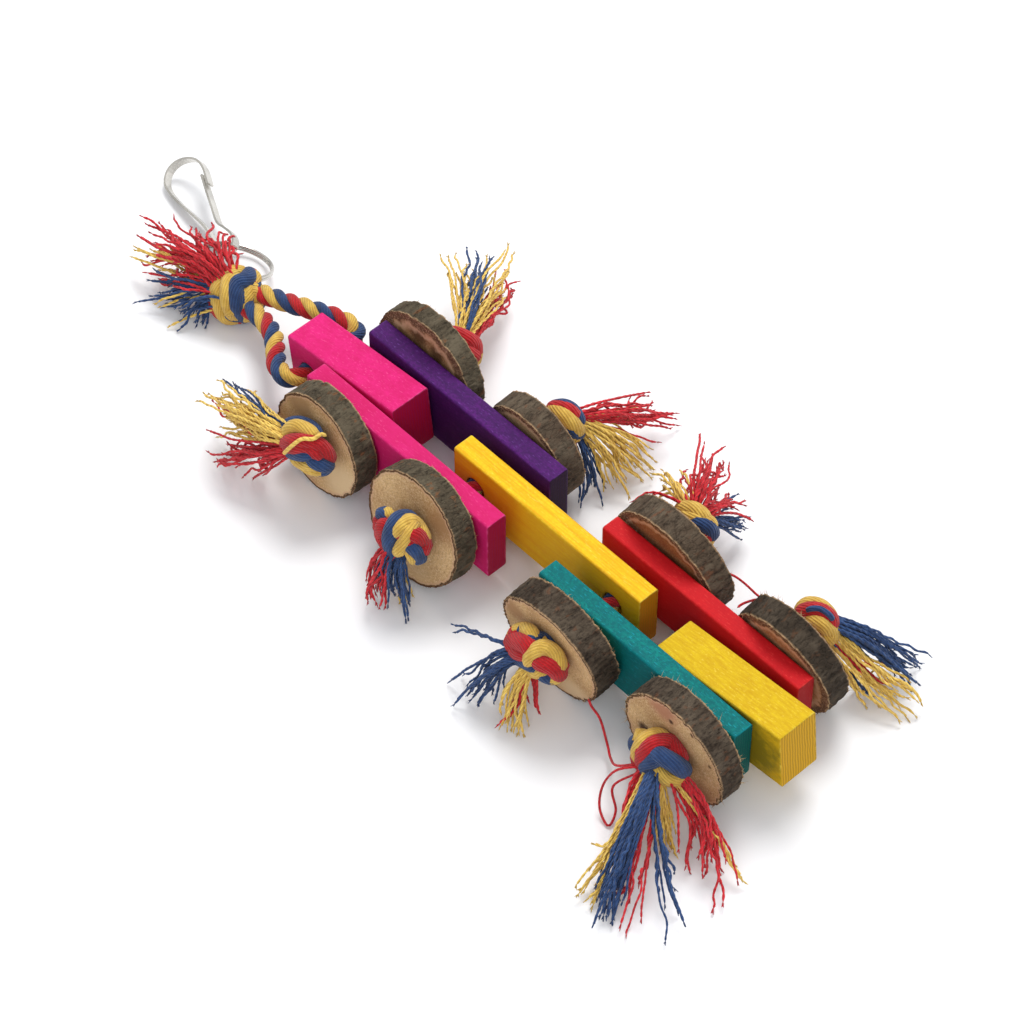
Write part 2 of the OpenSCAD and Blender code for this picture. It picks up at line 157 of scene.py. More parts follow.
def ramp(tree, fac, stops):
    """A value turned into another one by stops of position and value."""
    n = tree.nodes.new("ShaderNodeValToRGB")
    while len(n.color_ramp.elements) < len(stops):
        n.color_ramp.elements.new(0.5)
    for e, (p, c) in zip(n.color_ramp.elements, stops):
        e.position = p
        e.color = (c, c, c, 1)
    tree.links.new(fac, n.inputs[0])
    return n.outputs[0]


def mix_color(tree, fac, a, b):
    """Colour a where fac is 0 and b where it is 1; each is a colour or a socket."""
    n = tree.nodes.new("ShaderNodeMix")
    n.data_type = "RGBA"
    tree.links.new(fac, n.inputs[0])
    for s, v in ((n.inputs[6], a), (n.inputs[7], b)):
        if isinstance(v, tuple):
            s.default_value = (*v, 1)
        else:
            tree.links.new(v, s)
    return n.outputs[2]


def times(tree, a, b):
    return math_node(tree, "MULTIPLY", a, b)


def plus(tree, a, b):
    return math_node(tree, "ADD", a, b)


def cloud(tree, place, scale, detail, rough=0.5):
    """Value of a noise texture at a place."""
    n = put(tree, "ShaderNodeTexNoise", [(0, place)], Scale=scale, Detail=detail, Roughness=rough)
    return n.outputs[0]


def put_out(tree, sockets, **values):
    """Leads a group's values to the sockets of its output."""
    for n, value in values.items():
        tree.links.new(value, sockets[n])


def finish(tree, color, relief, strength, depth, shine):
    """Leads a colour and a relief of some depth in metres to the material's Principled node."""
    b = tree.nodes["Principled BSDF"]
    bump = put(tree, "ShaderNodeBump", relief, Strength=strength, Distance=depth)
    tree.links.new(color, b.inputs["Base Color"])
    tree.links.new(bump.outputs[0], b.inputs["Normal"])
    b.inputs["Specular IOR Level"].default_value = shine


# Lines run along the piece, mottle is where the dye took, flecks are open pores, rings show on the ends
grain, gi, go = new_group("sawn grain", ["Vector"], {"Seed": 0.0},
                          ["Lines", "Mottle", "Fleck", "Rings", "Speckle", "Height"])
g_shift = put(grain, "ShaderNodeCombineXYZ", [(0, gi["Seed"]), (1, gi["Seed"])])
g_place = put(grain, "ShaderNodeVectorMath", [(0, gi["Vector"]), (1, g_shift.outputs[0])]).outputs[0]
g_long = put(grain, "ShaderNodeMapping", [(0, g_place)], Scale=(40, 1500, 900))
g_wide = put(grain, "ShaderNodeMapping", [(0, g_place)], Scale=(25, 260, 120))
g_pores = put(grain, "ShaderNodeMapping", [(0, g_place)], Scale=(500, 2400, 2400))
g_ring = put(grain, "ShaderNodeTexWave", [(0, g_place)], Scale=290.0, Distortion=3.0,
             Detail=2.0, Detail_Scale=0.6, bands_direction="Y")
g_line = cloud(grain, g_long.outputs[0], 1.0, 5.0, 0.6)
g_band = cloud(grain, g_wide.outputs[0], 1.0, 3.0)
g_fleck = cloud(grain, g_pores.outputs[0], 1.0, 2.0)
g_mottle = plus(grain, times(grain, cloud(grain, g_place, 160.0, 4.0, 0.7), 0.6), times(grain, g_band, 0.4))
put_out(grain, go,
        Lines=ramp(grain, g_line, [(0.35, 0.0), (0.65, 1.0)]),
        Mottle=ramp(grain, g_mottle, [(0.36, 0.0), (0.64, 1.0)]),
        Fleck=ramp(grain, g_fleck, [(0.6, 0.0), (0.72, 1.0)]),
        Rings=g_ring.outputs[1],
        Speckle=ramp(grain, cloud(grain, g_place, 950.0, 3.0, 0.7), [(0.44, 0.0), (0.58, 1.0)]),
        Height=plus(grain, g_line, times(grain, g_fleck, 0.8)))


def spots(t, c, place, ragged, marks):
    """Mixes round marks into a colour; each mark is its middle and reach in mm, and its colour."""
    for at, reach, color in marks:
        far = put(t, "ShaderNodeVectorMath", [(0, place)], operation="DISTANCE")
        far.inputs[1].default_value = [v * MM for v in at]
        torn = times(t, math_node(t, "SUBTRACT", ragged, 0.5), 0.7)
        f = plus(t, math_node(t, "DIVIDE", far.outputs["Value"], reach * MM), torn)
        c = mix_color(t, ramp(t, f, [(0.45, 0.92), (1.0, 0.0)]), c, color)
    return c


def dyed_wood(name, top, deep, pale, end, seed, lines=0.35, fleck=0.35, mottle=0.75, speck=0.25,
              tilt=0.0, stains_and_shade=()):
    """Dyed pine: deep fills the mottle and darkens the side faces as painted shade, pale the flecks and
    rubbed corners, end the end grain.

    Lines, fleck, mottle and speck say how strongly each shows, and tilt turns the grain in degrees.
    """
    m = new_material(name, top, 0.62)
    t = m.node_tree
    place = put(t, "ShaderNodeTexCoord")
    turned = put(t, "ShaderNodeMapping", [(0, place.outputs["Object"])],
                 Rotation=(0, math.radians(tilt), 0))
    g = put(t, "ShaderNodeGroup", [("Vector", turned.outputs[0])], node_tree=grain, Seed=seed).outputs
    facing = put(t, "ShaderNodeSeparateXYZ", [(0, place.outputs["Normal"])])
    is_end = ramp(t, math_node(t, "ABSOLUTE", facing.outputs[0]), [(0.6, 0.0), (0.8, 1.0)])
    is_side = ramp(t, math_node(t, "ABSOLUTE", facing.outputs[1]), [(0.5, 0.0), (0.9, 1.0)])
    c = mix_color(t, times(t, g["Mottle"], mottle), top, deep)
    c = mix_color(t, times(t, g["Speckle"], speck), c, deep)
    c = mix_color(t, times(t, g["Lines"], lines), c, deep)
    c = mix_color(t, times(t, g["Fleck"], fleck), c, pale)
    # Side faces darkened towards deep: painted shade on the side faces
    c = mix_color(t, times(t, is_side, 0.45), c, deep)
    ringed = mix_color(t, times(t, g["Rings"], 0.8), end, tuple(0.6 * v for v in deep))
    c = mix_color(t, is_end, c, ringed)
    # Round marks on the side faces: stains, and dark marks of painted shade
    if stains_and_shade:
        c = mix_color(t, is_side, c, spots(t, c, place.outputs["Object"], g["Mottle"], stains_and_shade))
    soft = put(t, "ShaderNodeBevel", Radius=1.1 * MM, samples=6).outputs[0]
    geo = put(t, "ShaderNodeNewGeometry")
    edge = put(t, "ShaderNodeVectorMath", [(0, soft), (1, geo.outputs["Normal"])], operation="DOT_PRODUCT")
    rubbed = times(t, ramp(t, edge.outputs["Value"], [(0.9, 1.0), (0.985, 0.0)]),
                   ramp(t, cloud(t, place.outputs["Object"], 350.0, 3.0), [(0.42, 0.15), (0.6, 1.0)]))
    c = mix_color(t, times(t, rubbed, 0.55), c, pale)
    finish(t, c, [("Height", g["Height"]), ("Normal", soft)], 0.5, 0.0002, 0.12)
    return m


def dress(node, material):
    """Gives a CAD piece its material in place of the plain one."""
    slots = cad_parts[node].data.materials
    for i in range(len(slots)):
        slots[i] = material


pink = dict(deep=(0.54, 0.008, 0.1), pale=(0.92, 0.13, 0.36), end=(0.36, 0.004, 0.035))
dress("pink_block", dyed_wood("pink block dye", top=(0.74, 0.02, 0.2), **pink, seed=3.1, tilt=-6.5))
dress("pink_slat", dyed_wood("pink slat dye", top=(0.64, 0.015, 0.16), **pink, seed=7.7))
dress("purple_slat", dyed_wood("purple dye", (0.095, 0.009, 0.15), (0.036, 0.006, 0.066), (0.15, 0.05, 0.27),
                               (0.02, 0.005, 0.022), 1.3, fleck=0.6, speck=0.6))
yellow = dict(pale=(0.95, 0.76, 0.12), lines=0.75, mottle=0.35)
# The link's end colour is darker than the block's: dye pooled in its end grain, and painted shade of its end
# faces
dress("yellow_link", dyed_wood("yellow link dye", (0.88, 0.6, 0.016), (0.68, 0.3, 0.004),
                               end=(0.5, 0.18, 0.008), seed=5.2, **yellow))
# On the yellow block's -Y side the wide dark mark is painted shade with a greenish stain in it, the small
# green mark is a stain near the teal slat, and the small brown one lies at the bottom edge
dress("yellow_end_block", dyed_wood("yellow block dye", (0.72, 0.51, 0.012), (0.52, 0.29, 0.004),
                                    end=(0.6, 0.32, 0.009), seed=9.4, tilt=-6, **yellow,
                                    stains_and_shade=[((138, -12, 20), 26, (0.2, 0.15, 0.006)),
                                            ((158, -12, 6), 7, (0.4, 0.2, 0.01)),
                                            ((121, -12, 34), 7, (0.16, 0.2, 0.02))]))
dress("teal_slat", dyed_wood("teal dye", (0.0, 0.225, 0.195), (0.0, 0.11, 0.12), (0.01, 0.33, 0.42),
                             (0.001, 0.1, 0.08), 2.6, lines=0.5, fleck=0.7, speck=0.8))
dress("red_slat", dyed_wood("red dye", (0.58, 0.01, 0.013), (0.46, 0.007, 0.012), (0.85, 0.08, 0.06),
                            (0.32, 0.005, 0.006), 4.4, speck=0.5))

# Branch slices: eight discs sawn across a branch with the bark left on, drilled for the rope.
# Each is its own oval, and its bark is ridged, cracked, and chipped along the saw cuts.
# They are threaded outside the slats, lean a little on their rope, and the toy stands on them.
ROPE_Z = 21.5  # height of the four ropes, in mm as all sizes below
ROPE = 6
BORE = 8.4
GAP = 0.3  # running gap between rope and wood


def along(values):
    """Points or a point as an array, so that they can be added and scaled."""
    return np.array(values, dtype=float)


def slice_rise(t, lean):
    """How far a leaning slice of thickness t stands above its rope."""
    return max(0, (BORE - ROPE / math.cos(lean) - t * math.tan(abs(lean))) / 2 - GAP)


def slice_radius(r, s, a):
    """Radius at turn a from the foot; s holds the oval, the three-sided and the lopsided share."""
    return r * (1 + s[0] * (math.cos(2 * a) - 1) + s[1] * (math.cos(3 * a) - 1)
                + s[2] * math.sin(a) * (1 - math.cos(a))
                + 0.004 * (math.cos(11 * a) - 1) + 0.003 * (math.cos(17 * a) - 1))


def build_slice(name, x, y, d, t, lean, shape, seed, ridge, chip, fuzz, splinter):
    """Mesh of one slice; place holds depth under the bark, turn and side, bore the distance from the hole."""
    lean = math.radians(lean)
    r, rise = d / 2, slice_rise(t, lean)
    drop = (ROPE_Z + rise - t / 2 * math.sin(abs(lean))) / math.cos(lean) - r
    turns, rows, steps = 220, 12, 13  # points round the rim, across the bark, and from rim to hole
    verts, place, bore, faces, mats = [], [], [], [], []
    in_wood, in_bark = 0, 1

    def band(i, j, mat, side):
        """A ring of faces from the points at i to the points at j."""
        for k in range(turns):
            k2 = (k + 1) % turns
            quad = (i + k, i + k2, j + k2, j + k)
            faces.append(quad if side == 1 else quad[::-1])
            mats.append(mat)

    def rim_point(a, v):
        """X and Y on the bark at turn a from the foot and side v from -1 to 1; the foot stays plain."""
        q = slice_radius(r, shape, a)
        p = Vector((math.sin(a) * q, -math.cos(a) * q, v * t / 2))
        n = noise.noise(Vector((p.x * 0.34, p.y * 0.34, p.z * 0.1)) + Vector((seed, 0, 0)))
        f = noise.noise(Vector((p.x * 1.1, p.y * 1.1, p.z * 0.45)) + Vector((0, seed, 0)))
        g = noise.noise(Vector((p.x * 2.6, p.y * 2.6, p.z * 2.0)) + Vector((0, 0, seed)))
        crack = max(0.0, 0.12 - abs(n)) / 0.12
        low = 1 - 0.85 * max(0.0, math.cos(a)) ** 8
        cut = max(0.0, abs(v) - 0.8) / 0.2
        edge_n = noise.noise(Vector((a * 7, seed, v * 2)))
        away = ridge * (0.45 * crack + 0.35 * (0.5 - f) + 0.12 * (0.5 - g))
        away += chip * cut * max(0.0, edge_n + 0.15)
        q2 = q - max(0.02, away) * low
        return math.sin(a) * q2, -math.cos(a) * q2 - drop

    # The bark, row by row
    edge = {side: [rim_point(2 * math.pi * k / turns, side) for k in range(turns)] for side in (1, -1)}
    for row in range(rows + 1):
        v = -1 + 2 * row / rows
        for k in range(turns):
            a = 2 * math.pi * k / turns
            px, py = rim_point(a, v)
            verts.append((px, py, v * t / 2))
            place.append((0.0, a, v))
            bore.append(r)
    for row in range(rows):
        band(row * turns, (row + 1) * turns, in_bark, 1)
    # Both sawn faces, from the bark in to the hole, a little uneven from the saw
    starts = {}
    for side in (1, -1):
        starts[side] = len(verts)
        for step in range(steps + 1):
            f = step / steps
            for k in range(turns):
                a = 2 * math.pi * k / turns
                ex, ey = edge[side][k]
                b = math.atan2(ex, -ey)
                hx, hy = BORE / 2 * math.sin(b), -BORE / 2 * math.cos(b)
                px, py = ex + (hx - ex) * f, ey + (hy - ey) * f
                depth = math.hypot(ex - px, ey - py)
                saw = 0.06 * noise.noise(Vector((px * 0.5, py * 0.5, seed + side)))
                saw += 0.03 * noise.noise(Vector((px * 2.5, py * 0.6, seed + side)))
                z = t / 2
                if step:
                    z += (saw if step < steps else 0) - 0.05
                verts.append((px, py, side * z))
                place.append((depth, a, side))
                bore.append(math.hypot(px, py) - BORE / 2)
        for step in range(steps):
            band(starts[side] + step * turns, starts[side] + (step + 1) * turns, in_wood, side)
    # The wall of the hole
    i, j = starts[-1] + steps * turns, starts[1] + steps * turns
    for k in range(turns):
        k2 = (k + 1) % turns
        faces.append((i + k, j + k, j + k2, i + k2))
        mats.append(in_wood)
    # Splinters and torn fibres along both saw cuts, none at the foot
    rng = np.random.default_rng(int(seed * 10))
    for _ in range(fuzz):
        a, side = rng.uniform(0.4, 2 * math.pi - 0.4), rng.choice((-1, 1))
        ex, ey = rim_point(a, side)
        outward = Vector((math.sin(a), -math.cos(a), 0))
        out = outward * rng.uniform(-0.2, 1) + Vector((0, 0, side * rng.uniform(0.1, 1)))
        out += Vector(rng.normal(0, 0.6, 3))
        start = Vector((ex, ey, side * t / 2)) - outward * rng.uniform(0, 0.8)
        tip = start + out.normalized() * rng.uniform(0.5, 1.0 + splinter)
        wide = Vector(rng.normal(0, 1, 3)).normalized() * rng.uniform(0.05, 0.13)
        k = len(verts)
        across = wide.cross(out.normalized())
        verts += [tuple(start + wide), tuple(start - wide), tuple(start + across), tuple(tip)]
        faces += [(k, k + 1, k + 3), (k + 1, k + 2, k + 3), (k + 2, k, k + 3)]
        mats += [in_wood] * 3
        place += [(3.0, a, side)] * 4
        bore += [r] * 4
    # Stood up on the rim, leaned, and hung on the rope
    up = lean + math.pi / 2
    c, s = math.cos(up), math.sin(up)
    hung = [((x + p[0]) * MM, (y + p[1] * c - p[2] * s) * MM, (ROPE_Z + rise + p[1] * s + p[2] * c) * MM)
            for p in verts]
    o = mesh_object(name, hung, faces, [])
    o.data.polygons.foreach_set("material_index", mats)
    a1 = o.data.attributes.new("place", "FLOAT_VECTOR", "POINT")
    a1.data.foreach_set("vector", [v for p in place for v in p])
    a2 = o.data.attributes.new("bore", "FLOAT", "POINT")
    a2.data.foreach_set("value", bore)
    return o


# Cracks run between cells in some patches only, and grit is what roughens the skin
bark, bi, bo = new_group("bark skin", ["Turn"], {"Seed": 0.0}, ["Crack", "Patch", "Rust", "Grit", "Height"])
b_seed = put(bark, "ShaderNodeCombineXYZ", [(0, bi["Seed"]), (1, bi["Seed"]), (2, bi["Seed"])])
b_place = put(bark, "ShaderNodeVectorMath", [(0, bi["Turn"]), (1, b_seed.outputs[0])]).outputs[0]
b_warp = put(bark, "ShaderNodeTexNoise", [(0, b_place)], Scale=300.0, Detail=3.0)
b_bent = put(bark, "ShaderNodeMix", [(4, b_place), (5, b_warp.outputs[1])], data_type="VECTOR")
b_bent.inputs[0].default_value = 1.2 * MM  # how far the cracks wander
b_cell = put(bark, "ShaderNodeTexVoronoi", [(0, b_bent.outputs[1])], feature="DISTANCE_TO_EDGE", Scale=600.0)
b_long = put(bark, "ShaderNodeMapping", [(0, b_place)], Scale=(1.0, 0.35, 1.0))
b_ridge = cloud(bark, b_long.outputs[0], 650.0, 5.0, 0.7)
b_patch = cloud(bark, b_place, 130.0, 5.0, 0.65)
b_grit = cloud(bark, b_place, 1300.0, 4.0, 0.7)
b_crack = times(bark, ramp(bark, b_cell.outputs[0], [(0.0, 1.0), (0.08, 0.0)]),
                ramp(bark, b_patch, [(0.4, 1.0), (0.56, 0.1)]))
b_fine = math_node(bark, "SUBTRACT", b_grit, times(bark, b_crack, 0.45))
put_out(bark, bo,
        Crack=b_crack,
        Patch=ramp(bark, b_patch, [(0.42, 0.0), (0.62, 1.0)]),
        Rust=ramp(bark, cloud(bark, b_place, 420.0, 3.0), [(0.6, 0.0), (0.7, 1.0)]),
        Grit=plus(bark, times(bark, b_grit, 0.4), times(bark, b_ridge, 0.6)),
        Height=plus(bark, times(bark, b_ridge, 2.0), b_fine))
INNER_BARK = (0.11, 0.055, 0.028)
CAMBIUM = (0.6, 0.36, 0.22)
TORN_BARK = (0.5, 0.32, 0.17)
SCORCHED = (0.2, 0.1, 0.045)


def bark_material(name, dark, mid, light, rust, seed):
    """Bark: light patches and rust on its skin, dark pits and cracks, torn and pale along the saw cuts."""
    m = new_material(name, mid, 0.9)
    t = m.node_tree
    place = put(t, "ShaderNodeTexCoord")
    squeeze = put(t, "ShaderNodeMapping", [(0, place.outputs["Object"])], Scale=(1, 0.55, 1))
    g = put(t, "ShaderNodeGroup", [("Turn", squeeze.outputs[0])], node_tree=bark, Seed=seed).outputs
    c = mix_color(t, times(t, g["Patch"], 0.7), mid, light)
    c = mix_color(t, times(t, g["Rust"], 0.6), c, rust)
    c = mix_color(t, ramp(t, g["Grit"], [(0.36, 0.9), (0.52, 0.0)]), c, dark)
    c = mix_color(t, times(t, g["Crack"], 0.3), c, dark)
    where = put(t, "ShaderNodeAttribute", attribute_name="place")
    side = put(t, "ShaderNodeSeparateXYZ", [(0, where.outputs["Vector"])])
    rim = ramp(t, math_node(t, "ABSOLUTE", side.outputs[2]), [(0.86, 0.0), (0.97, 1.0)])
    torn = times(t, rim, ramp(t, g["Grit"], [(0.42, 0.3), (0.56, 1.0)]))
    c = mix_color(t, torn, c, TORN_BARK)
    finish(t, c, [("Height", g["Height"])], 0.9, 0.0006, 0.2)
    return m


# Depth is how far a point lies under the bark, Bore how far from the hole, both in mm
sawn, si, so = new_group("sawn face", ["Place"], {"Depth": 0.0, "Bore": 0.0, "Seed": 0.0, "Band": 1.0},
                         ["Bark", "Cambium", "Rings", "Scorch", "Fibre", "Blotch"])
s_seed = put(sawn, "ShaderNodeCombineXYZ", [(0, si["Seed"]), (2, si["Seed"])])
s_place = put(sawn, "ShaderNodeVectorMath", [(0, si["Place"]), (1, s_seed.outputs[0])]).outputs[0]
s_wander = math_node(sawn, "SUBTRACT", cloud(sawn, s_place, 240.0, 3.0), 0.5)
s_depth = plus(sawn, math_node(sawn, "DIVIDE", si["Depth"], si["Band"]), times(sawn, s_wander, 1.4))
s_rim = times(sawn, s_depth, 0.1)
s_bore = plus(sawn, si["Bore"], times(sawn, s_wander, 7.0))
s_ring = math_node(sawn, "SINE", times(sawn, s_depth, 4.2))
put_out(sawn, so,
        Bark=ramp(sawn, s_rim, [(0.07, 1.0), (0.1, 0.0)]),
        Cambium=ramp(sawn, s_rim, [(0.08, 0.0), (0.12, 1.0), (0.17, 0.0)]),
        Rings=ramp(sawn, s_ring, [(0.2, 0.0), (0.95, 1.0)]),
        Scorch=ramp(sawn, times(sawn, s_bore, 0.1), [(0.05, 1.0), (0.6, 0.0)]),
        Fibre=cloud(sawn, s_place, 1700.0, 5.0, 0.75),
        Blotch=ramp(sawn, cloud(sawn, s_place, 95.0, 4.0), [(0.4, 0.0), (0.62, 1.0)]))


def sawn_material(name, wood, warm, pale, band, seed, marks):
    """Sawn face: warm rings and blotches, pale and dark fibres, then the cambium and the bark's cut edge."""
    m = new_material(name, wood, 0.85)
    t = m.node_tree
    place = put(t, "ShaderNodeTexCoord").outputs["Object"]
    where = put(t, "ShaderNodeAttribute", attribute_name="place")
    depth = put(t, "ShaderNodeSeparateXYZ", [(0, where.outputs["Vector"])])
    hole = put(t, "ShaderNodeAttribute", attribute_name="bore")
    where_on_face = [("Place", place), ("Depth", depth.outputs[0]), ("Bore", hole.outputs["Fac"])]
    g = put(t, "ShaderNodeGroup", where_on_face, node_tree=sawn, Seed=seed, Band=band).outputs
    c = mix_color(t, times(t, g["Blotch"], 0.7), wood, warm)
    c = mix_color(t, times(t, g["Rings"], 0.3), c, warm)
    c = mix_color(t, ramp(t, g["Fibre"], [(0.5, 0.0), (0.68, 0.75)]), c, pale)
    c = mix_color(t, ramp(t, g["Fibre"], [(0.34, 0.55), (0.46, 0.0)]), c, SCORCHED)
    c = mix_color(t, times(t, g["Scorch"], 0.7), c, SCORCHED)
    c = spots(t, c, place, g["Fibre"], marks)
    c = mix_color(t, times(t, g["Cambium"], 0.85), c, CAMBIUM)
    layered = mix_color(t, ramp(t, g["Fibre"], [(0.5, 0.0), (0.62, 0.7)]), INNER_BARK, CAMBIUM)
    c = mix_color(t, g["Bark"], c, layered if band > 1 else INNER_BARK)
    finish(t, c, [("Height", g["Fibre"])], 0.8, 0.0004, 0.15)
    return m


ROWS = [-36.05, 12.95, 76.95, 130.95]  # X of the four rope rows
# Name, X, Y, diameter, thickness, lean in degrees, outline, seed, depth of ridges and of chips, bark
SLICES = [
    ("slice_front_1", ROWS[0], -23.654, 40.4, 9.2, -3.8, (0.012, -0.010, 0.02), 1.0, 0.9, 0.6, "grey"),
    ("slice_front_2", ROWS[1], -25.253, 41.6, 9, -11, (-0.015, 0.008, -0.03), 2.3, 0.9, 0.6, "grey"),
    ("slice_front_3", ROWS[2], -25.293, 44.8, 10.2, 8, (0.010, 0.012, 0.025), 3.9, 1.7, 0.7, "dark"),
    ("slice_front_4", ROWS[3], -23.48, 41.6, 9.2, 2.2, (-0.020, -0.008, -0.03), 5.1, 1.2, 1.3, "dark"),
    ("slice_rear_1", ROWS[0], 22.147, 44.8, 7.2, -1.5, (-0.012, 0.010, 0.03), 6.6, 1.0, 0.9, "grey"),
    ("slice_rear_2", ROWS[1], 24.743, 38.4, 8.6, 5.3, (0.014, -0.008, -0.02), 7.2, 0.7, 0.6, "brown"),
    ("slice_rear_3", ROWS[2], 24.753, 44, 9, 9.8, (-0.010, -0.012, 0.03), 8.8, 1.1, 1.0, "brown"),
    ("slice_rear_4", ROWS[3], 24.41, 42.4, 9.2, 10.5, (0.012, 0.010, -0.03), 9.5, 1.1, 1.3, "black")]
# Colours of each bark: its cracks, its skin, the worn patches and the rust
BARKS = {"grey": ((0.016, 0.012, 0.007), (0.092, 0.071, 0.045), (0.165, 0.135, 0.088), (0.25, 0.09, 0.03)),
         "black": ((0.007, 0.005, 0.003), (0.046, 0.033, 0.022), (0.105, 0.08, 0.055), (0.12, 0.05, 0.022)),
         "dark": ((0.008, 0.005, 0.003), (0.06, 0.042, 0.028), (0.15, 0.115, 0.08), (0.16, 0.06, 0.025)),
         "brown": ((0.015, 0.01, 0.006), (0.096, 0.066, 0.043), (0.165, 0.13, 0.088), (0.2, 0.07, 0.03))}
# Sawn wood: its colour, its warm patches, its pale fibres, and the width of the bark's layers.
# The rear slices are of darker wood with a thicker layered bark.
FRONT_SAWN = ((0.65, 0.42, 0.195), (0.42, 0.232, 0.098), (0.84, 0.66, 0.43), 1.0)
REAR_SAWN = {"slice_rear_1": ((0.33, 0.17, 0.075), (0.19, 0.085, 0.035), (0.52, 0.32, 0.17), 4.2),
             "slice_rear_2": ((0.46, 0.29, 0.15), (0.3, 0.17, 0.08), (0.66, 0.48, 0.3), 2.4),
             "slice_rear_3": ((0.34, 0.13, 0.044), (0.19, 0.062, 0.022), (0.5, 0.25, 0.11), 2.8),
             "slice_rear_4": ((0.46, 0.22, 0.09), (0.28, 0.12, 0.05), (0.66, 0.38, 0.19), 3.2)}
# Knots, a rotted hollow and reddish heartwood on the sawn faces, and on front slices 1 to 3 a paler patch low
# on the face and a darker one higher up: place, reach and colour. The hollow is a near-black spot on the flat
# face: its dark rot, and painted shade inside it.
MARKS = {"slice_front_4": [((125.5, -28.6, 39), 9, (0.42, 0.19, 0.11)),
                           ((142, -27.5, 7), 10, (0.34, 0.15, 0.08)),
                           # the hollow: its dark rot, and painted shade inside it
                           ((117.6, -28, 18.6), 3.4, (0.05, 0.022, 0.012)),
                           ((129.2, -28.6, 34.7), 1.3, (0.06, 0.03, 0.018)),
                           ((138.3, -28.6, 36.8), 1.2, (0.08, 0.04, 0.02)),
                           ((146, -28.4, 28), 1.0, (0.12, 0.06, 0.03))],
         "slice_front_3": [((88, -30, 5), 11, (0.7, 0.51, 0.3)), ((62, -29.5, 30), 8, (0.4, 0.22, 0.1))],
         "slice_front_1": [((-22, -27, 12), 13, (0.7, 0.51, 0.29)), ((-44, -29, 34), 9, (0.38, 0.22, 0.1))],
         "slice_front_2": [((18, -25, 7), 10, (0.7, 0.5, 0.28)), ((24, -31, 34), 10, (0.36, 0.2, 0.09))],
         "slice_rear_1": [((-38, 19, 36), 5, (0.1, 0.045, 0.018)), ((-29, 19, 34), 4, (0.09, 0.04, 0.016))]}
for name, x, y, d, t, lean, shape, seed, ridge, chip, look in SLICES:
    fuzz, splinter = (300, 2.0) if chip > 1.2 else (180, 0.5)
    o = build_slice(name + "_look", x, y, d, t, lean, shape, seed, ridge, chip, fuzz, splinter)
    o.data.materials.append(sawn_material(name + " sawn", *REAR_SAWN.get(name, FRONT_SAWN),
                                          seed, MARKS.get(name, ())))
    o.data.materials.append(bark_material(name + " bark", *BARKS[look], seed))
    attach(o, name)
    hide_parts(name)

# Cross ropes: one per row, laid from three strands of dyed cotton yarns, red, yellow and blue.
# Each runs through two slices and the wood between them, and is held by a knot outside each slice.
# The knots are drawn strand by strand, and the ends fray into a fan of loose yarns.
def frames(points):
    """Directions along a line of points, and two side directions carried along it without twist."""
    d = np.gradient(points, axis=0)
    d /= np.maximum(np.linalg.norm(d, axis=1, keepdims=True), 1e-12)
    u = np.zeros_like(d)
    start = np.array([0.0, 0.0, 1.0]) if abs(d[0][2]) < 0.9 else np.array([1.0, 0.0, 0.0])
    last = start - d[0] * start.dot(d[0])
    for i in range(len(d)):
        last = last - d[i] * last.dot(d[i])
        last /= max(np.linalg.norm(last), 1e-12)
        u[i] = last
    return d, u, np.cross(d, u)


def smooth_path(points, step):
    """Smooth line through given points (mm), resampled at an even step."""
    p = along(points)
    q = np.vstack([2 * p[0] - p[1], p, 2 * p[-1] - p[-2]])
    out = []
    for i in range(1, len(q) - 2):
        a, b, c, d = q[i - 1], q[i], q[i + 1], q[i + 2]
        for f in np.linspace(0, 1, 12, endpoint=False):
            out.append(0.5 * (2 * b + (c - a) * f + (2 * a - 5 * b + 4 * c - d) * f ** 2
                              + (3 * b - a - 3 * c + d) * f ** 3))
    out.append(p[-1])
    out = np.array(out)
    s = np.concatenate([[0], np.cumsum(np.linalg.norm(np.diff(out, axis=0), axis=1))])
    n = max(4, int(s[-1] / step) + 1)
    t = np.linspace(0, s[-1], n)
    return np.stack([np.interp(t, s, out[:, k]) for k in range(3)], axis=1)


FLOOR_GAP = 0.15  # the least height at which a yarn lies over the floor


